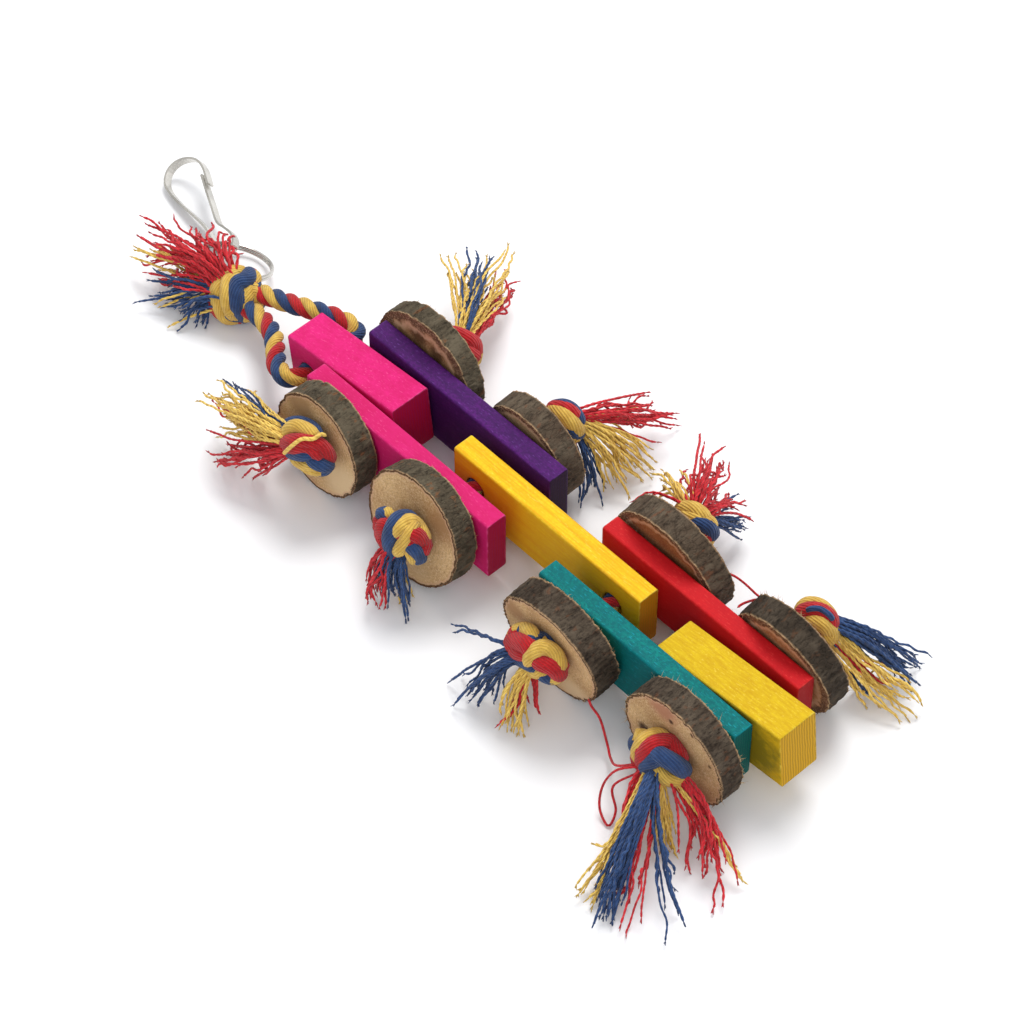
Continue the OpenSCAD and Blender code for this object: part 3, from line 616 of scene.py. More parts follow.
class Bundle:
    """Collects swept strands and yarns into one mesh; lay holds each point's turn and its count of plies."""

    def __init__(self):
        self.verts, self.quads, self.mats, self.lays, self.count = [], [], [], [], 0

    def sweep(self, points, radius, mat, sides, twist=10.0, phase=0.0, flat=1.0, plies=3, pinch=0.04):
        """Points are in mm; twist is the length of a full turn of the plies; pinch draws the ends shut."""
        n = len(points)
        d, u, w = frames(points)
        s = np.concatenate([[0], np.cumsum(np.linalg.norm(np.diff(points, axis=0), axis=1))])
        r = np.array(np.broadcast_to(np.asarray(radius, dtype=float), (n,)))
        r[[0, -1]] *= pinch
        ang = np.linspace(0, 2 * np.pi, sides, endpoint=False)
        turned = ang[None, :] - 2 * np.pi * s[:, None] / twist + phase
        rr = r[:, None] * (1 + (flat - 1) * np.cos(2 * turned))
        v = points[:, None, :] + rr[:, :, None] * (np.cos(ang)[None, :, None] * u[:, None, :]
                                                   + np.sin(ang)[None, :, None] * w[:, None, :])
        self.verts.append(v.reshape(-1, 3))
        lay = np.stack([np.cos(turned), np.sin(turned), np.full_like(turned, plies)], -1)
        self.lays.append(lay.reshape(-1, 3))
        i, k = np.meshgrid(np.arange(n - 1), np.arange(sides), indexing="ij")
        a, b = self.count + i * sides + k, self.count + i * sides + (k + 1) % sides
        self.quads.append(np.stack([a, b, b + sides, a + sides], -1).reshape(-1, 4))
        self.mats.append(np.full((n - 1) * sides, mat))
        self.count += n * sides

    def mesh(self, name, materials):
        v = np.vstack(self.verts)
        v[:, 2] = np.maximum(v[:, 2], FLOOR_GAP)
        o = mesh_object(name, (v * MM).tolist(), np.vstack(self.quads).tolist(), materials)
        o.data.polygons.foreach_set("material_index", np.concatenate(self.mats).astype(np.int32))
        lay = o.data.attributes.new("lay", "FLOAT_VECTOR", "POINT")
        lay.data.foreach_set("vector", np.vstack(self.lays).astype(np.float32).ravel())
        return o


# Lay holds the cosine and sine of the turn round a yarn, and its count of plies; under 4 it is a loose one
yarn, yi, yo = new_group("yarn fuzz", ["Vector", "Lay"], {}, ["Shade", "Lint", "Groove", "Loose", "Height"])
y_fibre = cloud(yarn, yi["Vector"], 2600.0, 4.0, 0.7)
y_lay = put(yarn, "ShaderNodeSeparateXYZ", [(0, yi["Lay"])])
y_turn = math_node(yarn, "ARCTAN2", y_lay.outputs[1], y_lay.outputs[0])
y_wave = times(yarn, times(yarn, y_turn, y_lay.outputs[2]), 0.5)
y_ply = math_node(yarn, "ABSOLUTE", math_node(yarn, "COSINE", y_wave))
put_out(yarn, yo,
        Shade=ramp(yarn, cloud(yarn, yi["Vector"], 380.0, 3.0), [(0.35, 0.0), (0.65, 1.0)]),
        Lint=ramp(yarn, y_fibre, [(0.52, 0.0), (0.7, 1.0)]),
        # The groove mask is painted shade in the grooves between the plies
        Groove=ramp(yarn, y_ply, [(0.0, 1.0), (0.5, 0.0)]),
        Loose=math_node(yarn, "LESS_THAN", y_lay.outputs[2], 4.0),
        Height=plus(yarn, y_ply, times(yarn, y_fibre, 0.5)))


def cotton(name, light, deep, lint, loose):
    """A dyed cotton; loose is the brighter colour of single yarns out of the twisted strands, painted light
    on the same cotton.
    """
    m = new_material(name, light, 0.9)
    t = m.node_tree
    place = put(t, "ShaderNodeTexCoord")
    lay = put(t, "ShaderNodeAttribute", attribute_name="lay")
    g = put(t, "ShaderNodeGroup", [("Vector", place.outputs["Object"]), ("Lay", lay.outputs["Vector"])],
            node_tree=yarn).outputs
    # Loose single yarns take a brighter copy of the colour: painted light
    c = mix_color(t, g["Loose"], light, loose)
    c = mix_color(t, times(t, g["Shade"], 0.55), c, deep)
    c = mix_color(t, times(t, g["Lint"], 0.35), c, lint)
    # Painted shade in the grooves between plies
    c = mix_color(t, times(t, g["Groove"], 0.6), c, deep)
    finish(t, c, [("Height", g["Height"])], 0.7, 0.0004, 0.1)
    b = t.nodes["Principled BSDF"]
    b.inputs["Sheen Weight"].default_value = 0.15
    b.inputs["Sheen Roughness"].default_value = 0.6
    return m


# Each cotton: name, colour, deep tone, lint, and the brighter colour of loose yarns, which is painted light
COTTON = [cotton("red cotton", (0.5, 0.01, 0.014), (0.24, 0.004, 0.007), (0.78, 0.09, 0.09),
                 (0.72, 0.025, 0.037)),
          cotton("yellow cotton", (0.72, 0.47, 0.085), (0.46, 0.24, 0.03), (0.92, 0.72, 0.28),
                 (0.92, 0.64, 0.14)),
          cotton("blue cotton", (0.024, 0.061, 0.17), (0.008, 0.018, 0.062), (0.085, 0.155, 0.32),
                 (0.032, 0.08, 0.215))]
RED, YELLOW, BLUE = 0, 1, 2


def strand(b, points, r, mat):
    """A strand of yarns, a quarter thinner where its ends dive out of sight; one yarn if r is under 1."""
    p = smooth_path(points, 0.95)
    if r < 1:
        b.sweep(p, r, mat, sides=8, twist=4, plies=2)
        return
    f = np.linspace(0, 1, len(p))
    thinning = np.minimum(1, 0.75 + 0.25 * np.minimum(f, 1 - f) / 0.2)
    b.sweep(p, r * thinning, mat, sides=18, twist=45.0, phase=r * 7, plies=int(6.5 * r))


LAY = 17.0  # length of rope in which its strands go once round


def laid_rope(b, points, r):
    """Three strands twisted round a path."""
    p = smooth_path(points, 0.75)
    d, u, w = frames(p)
    s = np.concatenate([[0], np.cumsum(np.linalg.norm(np.diff(p, axis=0), axis=1))])
    for k, mat in enumerate((RED, YELLOW, BLUE)):
        a = 2 * np.pi * (s / LAY + k / 3)
        q = p + (r * 0.5) * (np.cos(a)[:, None] * u + np.sin(a)[:, None] * w)
        b.sweep(q, r * 0.56, mat, sides=20, twist=15.0, plies=11)


def frayed(b, rng, root, bend, tip, n, mat, spread, root_r=2.0, thick=0.46):
    """n yarns from a root disc past a bend to spread tips, wavy, each with a few loose fibres at its end."""
    root, bend, tip = along(root), along(bend), along(tip)
    turn = 6.28
    for k in range(n):
        own = rng.normal(0, 1, 3)
        a = root + own * root_r * 0.5
        c = bend + own * spread * 0.3 + rng.normal(0, spread * 0.12, 3)
        c = c + rng.uniform(-0.1, 0.1) * (tip - root)
        e = a + (tip + own * spread * 0.5 + rng.normal(0, spread * 0.3, 3) - a) * rng.uniform(0.72, 1.05)
        e[2] = max(e[2], thick + 0.3 + rng.uniform(0, 2.5))
        length = np.linalg.norm(c - a) + np.linalg.norm(e - c)
        m = max(10, int(length / 0.85))
        f = np.linspace(0, 1, m)[:, None]
        p = (1 - f) ** 2 * a + 2 * f * (1 - f) * c + f ** 2 * e
        curl = 1.2 if mat == RED else 0.7  # the red yarns are the most kinked
        for height, short, long in ((curl, 15, 30), (0.24, 5.5, 9)):
            amp, wave, ph = rng.normal(0, height, 3), rng.uniform(short, long), rng.uniform(0, turn)
            p = p + f * amp * np.sin(f * length / wave * turn + ph)
        p[:, 2] = np.maximum(p[:, 2], thick + 0.2)
        r = thick * rng.uniform(0.85, 1.15)
        b.sweep(p, r * np.linspace(1, 0.85, m), mat, sides=6, twist=5.0, phase=rng.uniform(0, 3), flat=1.2,
                plies=2)
        end_d = p[-1] - p[-3]
        end_d /= max(np.linalg.norm(end_d), 1e-9)
        for _ in range(3):
            away = end_d * rng.uniform(0.8, 1.7) + rng.normal(0, 0.3, 3)
            q = p[-1] + np.outer(np.linspace(-0.1, 1, 4), away)
            q[:, 2] = np.maximum(q[:, 2], 0.4)
            b.sweep(q, r * np.array([0.55, 0.5, 0.4, 0.2]), mat, sides=4, pinch=1)


def knot(b, at, strands, hidden):
    """Strands as seen, and the thick ones again on the hidden side by its factors, round a plain core."""
    for mat, r, pts in strands:
        strand(b, [at + along(q) for q in pts], r, mat)
        if r > 1.5:
            strand(b, [at + along(q) * hidden for q in pts], r, mat)
    size = np.abs(along([q for s in strands for q in s[2]])).max(axis=0) * 0.55
    core = [at + size * along((-1, 0, 0)), at, at + size * along((1, 0, 0))]
    b.sweep(smooth_path(core, 1.0), 3.4, RED, sides=20, twist=40, plies=18)


# Knots: where the middle of each is, and of each strand the colour, the radius and its points from there
FRONT_AT = [(-33, -34.4, 27.5), (14.8, -36.4, 27), (78.5, -36.8, 27), (130.3, -34.2, 22.5)]
FRONT_KNOTS = [
    [(BLUE, 2.0, [(-5.1, -2.6, -0.8), (-8.5, -2.9, 0.3), (-9, -0.2, 3.6), (-6.2, 2.3, 5.3),
                  (-2.1, 3.9, 5.4), (2.5, 2.9, 6.5), (2.7, 1.6, 4.3)]),
     (YELLOW, 2.4, [(-5.4, -1.9, -1.1), (-8, -2.6, 0), (-5.6, -0.8, 5.9), (-1.6, 0.7, 7.3), (2.6, 1.1, 7),
                    (2.9, 0.8, 4.3)]),
     (RED, 2.6, [(-5.1, -2.1, -1.7), (-6.9, -3.4, -1.3), (-1.4, -3.8, 4.8), (3.6, -1.6, 6.7),
                 (6.7, 0.6, 5.5), (8.4, 2.5, -0.4), (5.5, 1.9, -1.4)]),
     (RED, 2.3, [(-4.4, -2, -2.1), (-5.7, -3.5, -2.1), (-0.1, -4.4, 2.7), (4, -2.8, 5), (7.5, -1.6, 3.7),
                 (5.7, -0.6, 1.9)]),
     (BLUE, 2.2, [(-3.5, -2.4, -2.7), (-4.1, -3.9, -3.2), (2.6, -4.6, 1.8), (5.8, -3, 3.8),
                  (4.6, -1.4, 2.9)]),
     (BLUE, 2.5, [(3.7, -2.6, 1.4), (7.3, -3, 1.3), (9.2, -1.2, -0.2), (8.8, 1, -2.3), (5.3, 1.5, -2.3)]),
     (YELLOW, 2.1, [(-2.4, -2.3, -2.7), (-1.9, -3.8, -4), (2.4, -4, -3.4), (7, -3.1, -0.5),
                    (5.4, -1.7, 0.3)]),
     (YELLOW, 2.0, [(0.4, -2.5, -3.2), (2.5, -3.3, -5.1), (5.9, -2.1, -4.9), (8, -0.6, -3.9),
                    (5.9, 0.3, -2)]),
     (YELLOW, 0.7, [(-2.2, -8.3, 1.1), (0.5, -7.1, 6.2), (2.6, -4.1, 9.5), (5.4, -1.6, 10), (5.6, 1.5, 10),
                    (6.8, 3, 8.8)])],
    [(BLUE, 3.0, [(0.3, -1.8, -4.7), (0.4, -3.2, -5.6), (-0.2, -4.3, 1.8), (-0.4, -1.4, 7.7),
                  (-0.5, 3.1, 5.7), (2.6, 3.4, 4.7), (2.8, 2.2, 2.5)]),
     (YELLOW, 2.7, [(1.4, -2.7, 4.4), (2.2, -2.3, 7.5), (2.2, 1.5, 8), (3.2, 3.9, 4.6), (5.6, 3.7, 3.1),
                    (7.3, 3.2, 1.5), (5.4, 1.7, 0.1)]),
     (YELLOW, 2.3, [(2, 2, 5.1), (3.9, 1.4, 7.6), (5.2, -1.9, 6.5), (4, -4.6, -0.1), (2.2, -3.3, -1.2)]),
     (RED, 2.8, [(-2.5, -1.9, 3.3), (-4.6, -2.9, 3.4), (-6, -2.7, -2.1), (-4.3, -3, -3.5), (-2.6, -3, -4.4),
                 (-0.5, -1.9, -3.3)]),
     (RED, 3.0, [(3.2, -0.8, 5), (5.7, -0.2, 6.3), (7, 2.7, 1.4), (8.2, 1.9, -0.4), (5.7, 0.8, -1.3)]),
     (RED, 2.4, [(-2.1, -0.7, 4.5), (-1.6, -1.5, 6.7), (2.3, -2.2, 5.8), (6.2, -1.5, 4.2), (5, -0.7, 2.1)]),
     (BLUE, 2.4, [(4.4, -1.7, 2.8), (7.5, -2, 2.7), (8.8, 0, -2.2), (8, -0.1, -3.9), (4.4, -0.2, -3.5)]),
     (YELLOW, 1.8, [(4.7, -2, 1), (7.4, -2.7, -0.2), (6.9, -1.1, -5.1), (4.2, -0.3, -4.3)])],
    [(YELLOW, 2.7, [(-4.7, -2.2, -1.3), (-8.2, -2.4, -0.6), (-9.2, -0.3, 2.1), (-7.2, 1.6, 3.8),
                    (-3, 0.7, 6.3), (-0.8, 0.2, 4.5)]),
     (RED, 3.2, [(-4.1, -2, -1.3), (-7.9, -2.4, -0.7), (-8.7, -1.8, 0.2), (-2.2, -2.5, 5.1),
                 (0.2, -2.6, 4.4), (0.8, -1.6, 1.8)]),
     (RED, 2.6, [(-5, -1.5, -1.8), (-6.5, -3, -1.7), (-4.1, -4, 0.2), (-1.4, -3.8, 2.2), (0.4, -2.2, 1.2)]),
     (YELLOW, 2.7, [(0.8, -3.0, -0.4), (1.3, -4.4, 1.6), (1.9, -3.4, 5.2), (3.4, -0.6, 7.4),
                    (6.4, 1.4, 5.2), (9.3, 0.8, 2), (6.8, -0.1, -0.2)]),
     (RED, 3.0, [(2.4, -2.0, 1.8), (4.6, -3.2, 3.4), (8.3, -1.2, 2.6), (9.2, 0.7, -1.8), (6, 1, -2.3)]),
     (BLUE, 2.5, [(-4.2, -2, -1.1), (-4.9, -3.4, -2.6), (-3.6, -3.5, -3.1), (3, -4.1, 0.8),
                  (2.9, -2.7, 1.1)]),
     (BLUE, 2.4, [(-1.6, -1.2, 4.4), (-2, -0.2, 6.1), (-0.8, 3.1, 4), (1.4, 3.3, 3.7), (2.1, 2.1, 2.1)]),
     (YELLOW, 2.3, [(-2.3, -2.4, -2.1), (-1.7, -3.7, -3.7), (1.5, -3.4, -4.2), (5.9, -3.6, -0.2),
                    (4.6, -2.2, 0.7)]),
     (BLUE, 2.4, [(3, -2.8, 0.2), (5.8, -3.4, -1.1), (7.5, -1.5, -3.5), (8.6, -0.6, -2.8),
                  (6.2, 0.3, -1.2)])],
    [(YELLOW, 2.6, [(-3.3, -2.8, -1.6), (-5.2, -3.9, -0.6), (-4.8, -2, 5.5), (-4, 2.9, 4.8),
                    (-0.2, 3.5, 4.7), (1.1, 2.4, 2.9)]),
     (RED, 3.1, [(-1.9, -3.1, -1.3), (-2.8, -4.3, -0.3), (-1.4, -2.1, 6.3), (0.1, 3.5, 4.6),
                 (3.1, 3.5, 3.8), (6.5, 3, 2.3), (5.2, 1.7, 0.9)]),
     (RED, 2.9, [(-1.6, -1.9, 3.7), (-3.2, -3.1, 4.1), (-5.6, -3, -2.6), (-3.1, -3.3, -3.6),
                 (-0.8, -2.2, -2.7)]),
     (BLUE, 2.8, [(1.9, -1.4, 4.5), (2.2, -2.9, 5.6), (-0.2, -4.7, 0.3), (-0.6, -3.7, -4.5),
                  (-0.5, -2.1, -4)]),
     (BLUE, 3.0, [(-0.1, -1.9, 3.8), (1.8, -2.5, 5.9), (6.5, -0.9, 5.2), (8.6, 2, 0.4), (5.8, 1.9, -0.7)]),
     (YELLOW, 2.5, [(1, -2.8, 0.7), (3.3, -4, 0.3), (6.5, -3, -1.4), (9, 0.1, -2.2), (6.4, 1, -1.6)]),
     (YELLOW, 2.3, [(-0.5, -2.1, -2.8), (1.2, -3.1, -4.5), (3.5, -2.7, -4.6), (3.4, -1.5, -2.9)])]]
REAR_AT = [(-31.5, 31.8, 25.5), (15, 35.4, 25.5), (74.5, 36.6, 25.5), (128.5, 36.6, 25.5)]
REAR_KNOTS = [
    [(RED, 3.2, [(-4, -0.8, -0.1), (-5.3, -1.1, 1.5), (-3.4, -0.9, 4.5), (0.9, 0, 5.8), (2.9, 2.5, 2.6),
                 (4.6, 2.1, 0.6), (3.7, 1.1, -0.5)]),
     (RED, 2.8, [(-3.5, -1.2, 1.3), (-3.8, -2.1, 2.7), (1.1, -2.4, 4), (4.8, -1.4, 2.6), (5.2, 1.6, -0.5),
                 (3.3, 1.9, -1.2)]),
     (YELLOW, 2.6, [(0.2, -2.3, 1.6), (1.8, -3.1, 1.5), (4.9, -1.9, -0.7), (5, 0.1, -3.1),
                    (3.2, 0.9, -2.8)]),
     (YELLOW, 2.4, [(2.6, 1.8, 1.3), (4.9, 2.1, 0.4), (5.4, 1.5, -0.9), (5.4, 0.5, -2.7),
                    (3.4, -0.3, -2.7)])],
    [(YELLOW, 2.9, [(-4.1, -0.1, 1), (-5, -0.6, 2.6), (-0.3, -1.7, 5.4), (3.2, -1.2, 4.6), (5.6, 0.3, 0.4),
                    (4, 0.6, -0.8)]),
     (RED, 2.3, [(-3.9, -0.8, 1.3), (-4.9, -1.1, 3.4), (-1.9, -0.5, 6.1), (1, 0.5, 6.4), (3.4, 1.2, 5),
                 (3.2, 1, 2.5)]),
     (BLUE, 2.0, [(-4.3, -0.7, 1), (-5.6, -0.7, 2.9), (-1.8, 0.5, 6.5), (0.9, 2, 5.9), (3.7, 2.1, 4.5),
                  (5.2, 1.8, 2.7), (4, 1, 0.7)]),
     (BLUE, 2.5, [(3, -1.7, 1.9), (4.9, -1.7, 1.4), (5.1, 0.8, -2.3), (5.1, 0.7, -2.4),
                  (3.1, -0.3, -2.5)])],
    [(YELLOW, 2.7, [(-4.2, -0.5, 0.1), (-5.8, -0.8, 1.9), (-4.7, -0.7, 4.1), (-0.8, 0, 6.3), (3, 0.5, 5.5),
                    (3, 0.5, 3.2)]),
     (YELLOW, 2.4, [(-3.4, -1.7, 1.2), (-3.8, -2.5, 2.9), (0.7, -1.9, 5.4), (4, 0.5, 4.8), (5.1, 1.9, 2),
                    (3.6, 1.7, 0.2)]),
     (BLUE, 3.0, [(0.1, -1.9, 3.2), (1.9, -2.1, 4.6), (4.8, -0.3, 3.7), (5.7, 1.2, -1), (3.7, 1.1, -1.8)]),
     (RED, 1.8, [(3.8, -1.6, 1.7), (6.2, -1.5, 1.1), (6.2, 0.8, -2.2), (6.2, 0.7, -2.2),
                 (3.8, -0.4, -2.3)]),
     (YELLOW, 1.8, [(3.9, -1.8, -0.4), (6.1, -1.3, -1.8), (6, 0.1, -3), (6, 0.1, -3), (3.4, -0.8, -2.6)])],
    [(YELLOW, 2.6, [(-4, -1.5, -0.4), (-5.9, -1.2, 0.9), (-5.1, 0.7, 3.6), (-2, 2.3, 4.7), (0.9, 2.8, 4.1),
                    (3.8, 2.6, 2.4), (3.4, 1.6, 0.9)]),
     (RED, 2.9, [(-3.7, -1.6, 0.5), (-4.6, -2.2, 2.3), (-1.5, -1.2, 5.8), (1.8, 0.6, 6), (4.6, 1.5, 3.6),
                 (3.8, 1.2, 1.4)]),
     (BLUE, 1.0, [(-1.8, -2.4, 4.6), (-1.3, -2.7, 7.9), (1.5, -0.5, 8.6), (5.2, 0.6, 7.1),
                  (4.3, 0.7, 3.9)]),
     (YELLOW, 2.8, [(-1, -2, 2.7), (0.3, -2.5, 4.3), (3.9, -1.4, 4.1), (5.7, 1.1, -1), (5.7, 0.5, -1.8),
                    (3.6, -0.3, -2.2)])]]
# Tassels: colour, number of yarns, root, bend and tip from the knot's middle, and spread
FRONT_ENDS = [
    [(YELLOW, 42, (-4, -1, 1), (-19, -7, 4), (-43, -1, -12), 6),
     (YELLOW, 12, (-4, -2, 0), (-14, -7, -2), (-38, -3, -20), 5),
     (BLUE, 5, (-4, -1, 1), (-19, -3, 4), (-44, 4, -8), 3),
     (RED, 18, (-3, -2, -2), (-14, -11, -8), (-31, -12, -24), 7),
     (RED, 8, (-3, -2, -2), (-12, -9, -10), (-21, -8, -24), 6),
     (RED, 3, (-4, -2, -1), (-17, -8, -4), (-48, -1, -16), 3)],
    [(BLUE, 22, (2, -3, -2), (3, -6, -5), (5, -6, -24), 5),
     (BLUE, 8, (0, -3, -2), (1, -8, -5), (-3, -9, -24), 4),
     (RED, 12, (0, -3, -2), (0, -9, -5), (-1, -12, -25), 4),
     (RED, 4, (-2, -3, -2), (-6, -8, -7), (-6, -10, -24), 3),
     (YELLOW, 4, (1, -1, -4), (4, -3, -9), (6, -3, -25), 4)],
    [(BLUE, 20, (-3, -2, -1), (-10, -8, -3), (-17, -12, -23), 6),
     (BLUE, 8, (-3, -2, -2), (-9, -8, -7), (-10, -11, -25), 4),
     (YELLOW, 22, (0, -3, -3), (-1, -8, -7), (2, -13, -25), 6),
     (RED, 4, (0, -1, -4), (0, -3, -11), (6, -6, -25), 4),
     (BLUE, 3, (-4, -1, 0), (-17, -7, 1), (-36, -4, -13), 4),
     (RED, 3, (0, -3, -3), (0, -7, -7), (0, -16, -25), 4)],
    [(BLUE, 30, (2, -4, 0), (13, -24, 2), (20, -42, -20), 4),
     (YELLOW, 16, (1, -4, -1), (10, -25, -8), (12, -41, -20), 4),
     (YELLOW, 28, (2.5, -4, -1), (9.5, -7.5, -10), (17, -13, -20), 3.5),
     (BLUE, 7, (3, -3, 0), (18, -20, -2), (39, -30, -20), 5),
     (RED, 14, (4, 0, -1), (25, 1, -3), (38, -10, -20), 7),
     (RED, 8, (4, 0, -1), (14, 0, -2), (32, -10, -20), 6),
     (RED, 6, (-1, -4, -1), (-2, -12, -4), (11, -27, -20), 4),
     (RED, 10, (2, -3, -1), (16, -24, -8), (26, -40, -20), 6),
     (YELLOW, 4, (4, 0, -1), (22, -2, -4), (45, -1, -20), 4)]]
REAR_ENDS = [
    [(YELLOW, 22, (-2, 3, 1), (-7, 14, 4), (-25, 41, -12), 8),
     (YELLOW, 12, (-3, 3, 1), (-12, 13, 4), (-35, 32, -10), 6),
     (BLUE, 14, (-2, 3, 1), (-10, 15, 6), (-31, 39, -10), 6),
     (RED, 12, (-1, 4, -1), (-7, 20, -4), (-22, 42, -18), 5),
     (RED, 4, (-1, 3, -1), (-9, 20, -8), (-17, 33, -19), 3)],
    [(RED, 22, (2, 3, 0), (8, 14, 0), (11, 37, -17), 7),
     (RED, 6, (1, 3, 1), (5, 11, 4), (5, 30, -12), 4),
     (YELLOW, 24, (3, 3, -1), (10, 9, -4), (19, 17, -22), 7),
     (YELLOW, 12, (3, 2, -2), (9, 7, -8), (20, 7, -24), 6),
     (YELLOW, 6, (2, 3, 0), (7, 13, 0), (7, 23, -12), 5),
     (BLUE, 14, (3, 1, -3), (11, 2, -10), (17, -2, -24), 6)],
    [(RED, 30, (-2, 2, 3), (-5, 5, 10), (-14, 21, -2), 9),
     (RED, 18, (-1, 4, 0), (-2, 11, 0), (-6, 22, -13), 7),
     (YELLOW, 14, (-3, 0, 3), (-11, 2, 10), (-21, 4, 2), 6),
     (BLUE, 20, (0, 4, -2), (0, 7, -4), (0, 21, -18), 5),
     (RED, 4, (-3, -1, 2), (-14, -5, 10), (-18, -15, 2), 3)],
    [(BLUE, 44, (3, 3, 0), (13, 9, 0), (23, 22, -22), 4.5),
     (YELLOW, 15, (3, 1, -2), (17, 3, -10), (35, 11, -24), 7),
     (YELLOW, 10, (3, 0, -2), (16, 1, -12), (21, 9, -24), 5),
     (RED, 5, (3, 1, -2), (15, 5, -10), (25, 14, -24), 6),
     (BLUE, 6, (3, 0, -3), (12, 1, -12), (18, 6, -24), 4)]]
# Stray red yarns of row 4, in mm: up to the slice in front, a curl beside the knot, two at the back
STRAYS = [[(97, -32.3, 17.9), (98.5, -32.1, 14.7), (102, -31.8, 11.4), (106.9, -33.4, 5.3),
           (111.5, -36.1, 4), (119, -41, 13), (126, -40, 20)],
          [(127, -40, 20), (122.1, -44.6, 17), (119.6, -47.5, 9), (122, -51, 3), (127.6, -52.6, 0.8),
           (126.6, -48.5, 4), (122.4, -45.8, 10), (127.3, -40, 17)],
          [(88.3, 34, 15), (90.6, 37.6, 13), (94.5, 39.3, 11), (100.3, 39.5, 10), (103.7, 38.6, 12),
           (109, 35, 17), (120, 33, 22)],
          [(98.6, 32.2, 8), (98.6, 34.5, 8), (100, 36.7, 9), (102.7, 36.9, 12), (108, 35, 16),
           (120, 33, 21)]]
for i in range(4):
    rng = np.random.default_rng(40 + i)
    b = Bundle()
    front, rear = along(FRONT_AT[i]), along(REAR_AT[i])
    inside = [(ROWS[i], y, ROPE_Z) for y in (front[1] + 9, 0, rear[1] - 8)]
    laid_rope(b, [front, *inside, rear], r=3.1)
    for at, strands, ends, hidden in ((front, FRONT_KNOTS[i], FRONT_ENDS[i], (-1, -0.6, -1)),
                                      (rear, REAR_KNOTS[i], REAR_ENDS[i], (-1, 1, -1))):
        knot(b, at, strands, hidden)
        for mat, n, root, bend, tip, spread in ends:
            frayed(b, rng, at + along(root), at + along(bend), at + along(tip), n, mat, spread)
    for line in STRAYS if i == 3 else ():
        b.sweep(smooth_path(line, 0.8), 0.42, RED, sides=6, twist=4, plies=2)
    o = b.mesh(f"cross_rope_{i + 1}_look", COTTON)
    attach(o, "upper_frame" if i < 2 else "lower_frame")
    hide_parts(f"cross_rope_{i + 1}")

# Hanger rope: the same cotton rope, put as a loop through the hanging hole of the pink block.
# Its two legs are knotted together round the split ring, and end in a dense burst of yarns.
KNOT = along((-110.88, 1.3, 10.2))  # middle of the knot; all other points are taken from it
LOOP = [(3, -2, 1), (14.7, -2.2, 2), (24.2, -5.1, 4), (31.3, -9.8, 5.6), (37.7, -14.6, 7), (43, -16.2, 7.5),
        (46.3, -14.4, 7.4), (47.3, -10.5, 7.3), (47.3, -1.5, 7.3), (47.3, 8, 7.3), (46.6, 12.6, 7.5),
        (43.6, 14.4, 8.2), (38, 13.4, 8.6), (29.6, 10.4, 8), (19.3, 7, 6.2), (7, 4.2, 3.2), (3, 3, 1)]
HANGER_KNOT = [
    (YELLOW, 3.3, [(-1.1, 3.6, 3.6), (-2.7, 4, 5.7), (-4.4, 0.5, 5.5), (-3.4, -5.4, 3.3), (0.1, -6.4, -4),
                   (2.7, -4.1, -5.6), (2.5, -1.8, -4)]),
    (YELLOW, 2.6, [(-2.8, 2.8, 3.5), (-3.7, 2.8, 6), (-0.9, -3.1, 7.4), (2.6, -6.4, 3.2),
                   (2.9, -4.2, -5.8), (1.9, -2.3, -4.8)]),
    (BLUE, 3.0, [(-1.4, 4.6, 2.6), (-1.1, 6.2, 5.1), (2.1, 2.8, 7.4), (2, -1.7, 7.8), (5, -4.6, 2.8),
                 (4.5, -1.5, -6), (2.8, -0.5, -4.9)]),
    (BLUE, 2.6, [(-0.8, 5, 2.4), (0.2, 6.8, 4), (5.2, 2.6, 4.2), (5.6, -2.5, 3.6), (3.5, -2.8, 2)]),
    (YELLOW, 2.7, [(4.1, -2.9, 0.3), (6.3, -3.2, 1.8), (5.4, 1.2, 5.4), (6.8, 1.8, 1.2), (5.3, 0.3, -5.6),
                   (6.4, -3.4, 0.6), (4.1, -2.7, 1.4)]),
    (YELLOW, 2.4, [(2.9, 1.1, 4.3), (4.4, 2.9, 5.3), (3.7, 6.5, -0.1), (4.3, 5.8, -1.2), (3.2, 3, -1.7)]),
    (BLUE, 2.6, [(3.1, 3.4, -1.4), (5, 3.8, -3.3), (5.1, 1.3, -4.9), (4.5, -1.3, -5.8), (2.5, -1.9, -4)]),
    (RED, 2.6, [(-2.6, -4.1, 0.5), (-2.9, -6.5, -0.6), (0.2, -6.3, -4.1), (2.7, -4.1, -5.6),
                (3.9, -2.1, -5.7), (3, -0.2, -3.6)]),
    (BLUE, 2.6, [(-2.7, 1, 3.9), (-4.6, -0.2, 5.3), (-4.8, -2.9, 3.9), (-3.9, -5.7, 1.1),
                 (-2.1, -4.4, -0.2)]),
    (RED, 2.2, [(-3.3, -2, 2.7), (-4.6, -4.3, 2.8), (-2.6, -6.6, -0.9), (0, -6.4, -3.9),
                (0.8, -3.9, -3.3)]),
    (BLUE, 2.7, [(-4.5, 3.5, 2.5), (-5.9, 2.6, 4.4), (-6.9, -1.0, 4.0), (-6.4, -4.0, 1.8),
                 (-4.6, -5, -1)]),
    (RED, 2.4, [(-5.2, -3.6, 1.2), (-5.4, -6, -0.6), (-3.0, -7.6, -2.9), (0, -6.9, -4.8),
                (0.6, -4.2, -4.6)])]
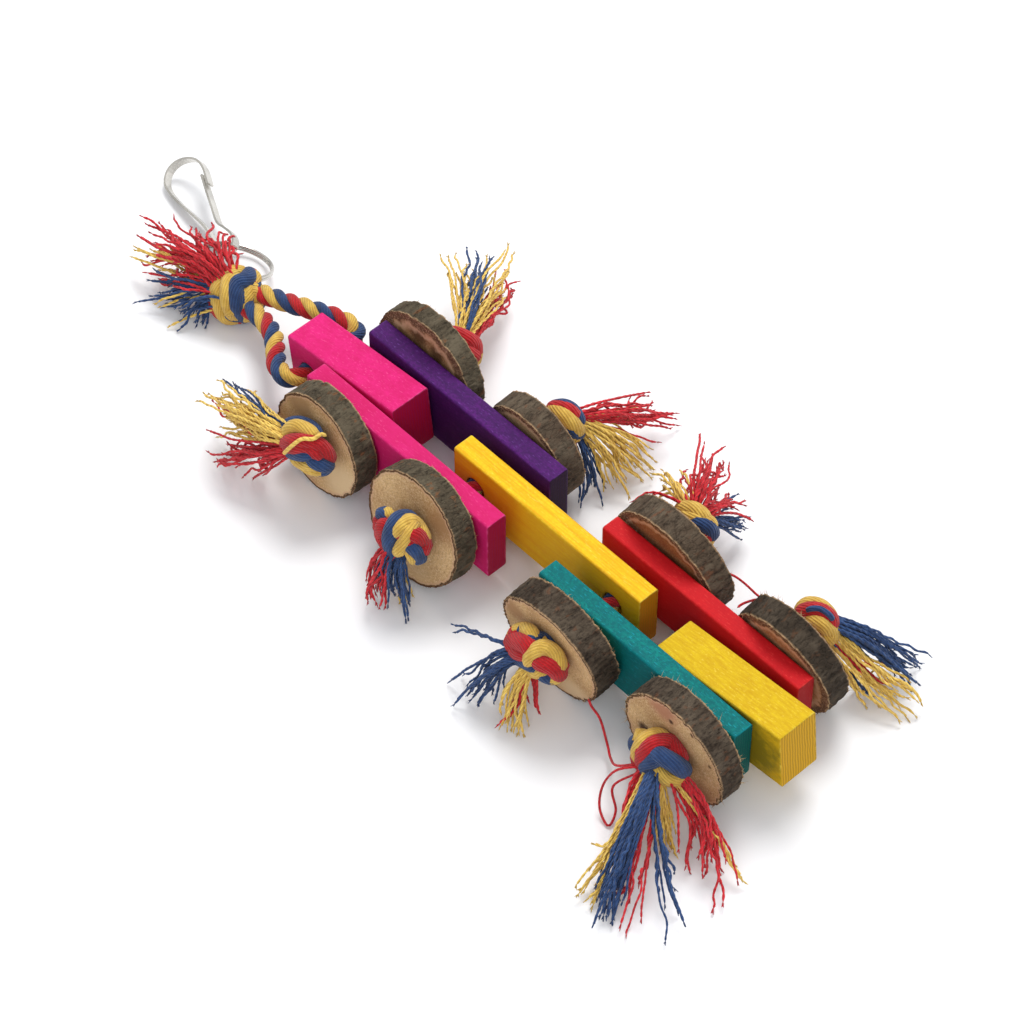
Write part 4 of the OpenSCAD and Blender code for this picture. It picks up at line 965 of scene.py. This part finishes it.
HANGER_ENDS = [
    (RED, 42, (-4, -2, 4), (-13, -5, 12), (-33, -5, 2), 8),
    (RED, 12, (-4, -1, 5), (-12, -3, 16), (-30, 4, 6), 6),
    (RED, 8, (-4, 1, 5), (-13, 2, 16), (-18, 10, 8), 5),
    (BLUE, 30, (-4, -4, 2), (-10, -10, 4), (-23, -16, -6), 7),
    (BLUE, 14, (-4, -5, 0), (-7, -9, 0), (-6, -15, -8), 4),
    (YELLOW, 16, (-5, -2, 2), (-15, -6, 6), (-35, -8, -1), 6),
    (RED, 12, (-4, -4, 2), (-10, -8, 4), (-24, -10, -5), 8),
    (YELLOW, 6, (-4, -4, 1), (-8, -8, 2), (-18, -18, -7), 6),
    (RED, 5, (-4, -4, 2), (-6, -7, 4), (-7, -12, -7), 4)]
b = Bundle()
rng = np.random.default_rng(77)
laid_rope(b, [KNOT + along(q) for q in LOOP], r=3.3)
knot(b, KNOT, HANGER_KNOT, (1, -1, -0.9))
b.sweep(smooth_path([KNOT + along((-6, 0, 0)), KNOT, KNOT + along((6, 0, 0))], 1.0), 5.6, BLUE,
        sides=24, twist=40, plies=30)
for mat, n, root, bend, tip, spread in HANGER_ENDS:
    frayed(b, rng, KNOT + along(root), KNOT + along(bend), KNOT + along(tip), n, mat, spread,
           root_r=3.5, thick=0.5)
o = b.mesh("hanger_rope_look", COTTON)
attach(o, "pink_block_hanger")
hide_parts("hanger_rope")

# Clip and ring: the clip is bent from one strip of spring steel, the ring wound from one wire.
# Both are nickel-plated, and the plating is dulled by handling. The ring runs through the
# hanger knot, and the clip's eye is hooked round the ring.
def nickel(name, color, rough):
    """Nickel plating, worn rougher here and there and dulled in patches."""
    m = new_material(name, color, rough)
    t = m.node_tree
    b = t.nodes["Principled BSDF"]
    b.inputs["Metallic"].default_value = 1.0
    place = put(t, "ShaderNodeTexCoord").outputs["Object"]
    wear = ramp(t, cloud(t, place, 500.0, 4.0), [(0.3, rough * 0.7), (0.7, rough * 1.4)])
    dull = ramp(t, cloud(t, place, 90.0, 2.0), [(0.4, 0.0), (0.65, 0.6)])
    c = mix_color(t, dull, color, tuple(0.6 * v for v in color))
    t.links.new(wear, b.inputs["Roughness"])
    t.links.new(c, b.inputs["Base Color"])
    return m


dress("snap_clip", nickel("nickel strip", (0.62, 0.6, 0.55), 0.26))
dress("split_ring", nickel("nickel wire", (0.6, 0.58, 0.54), 0.22))
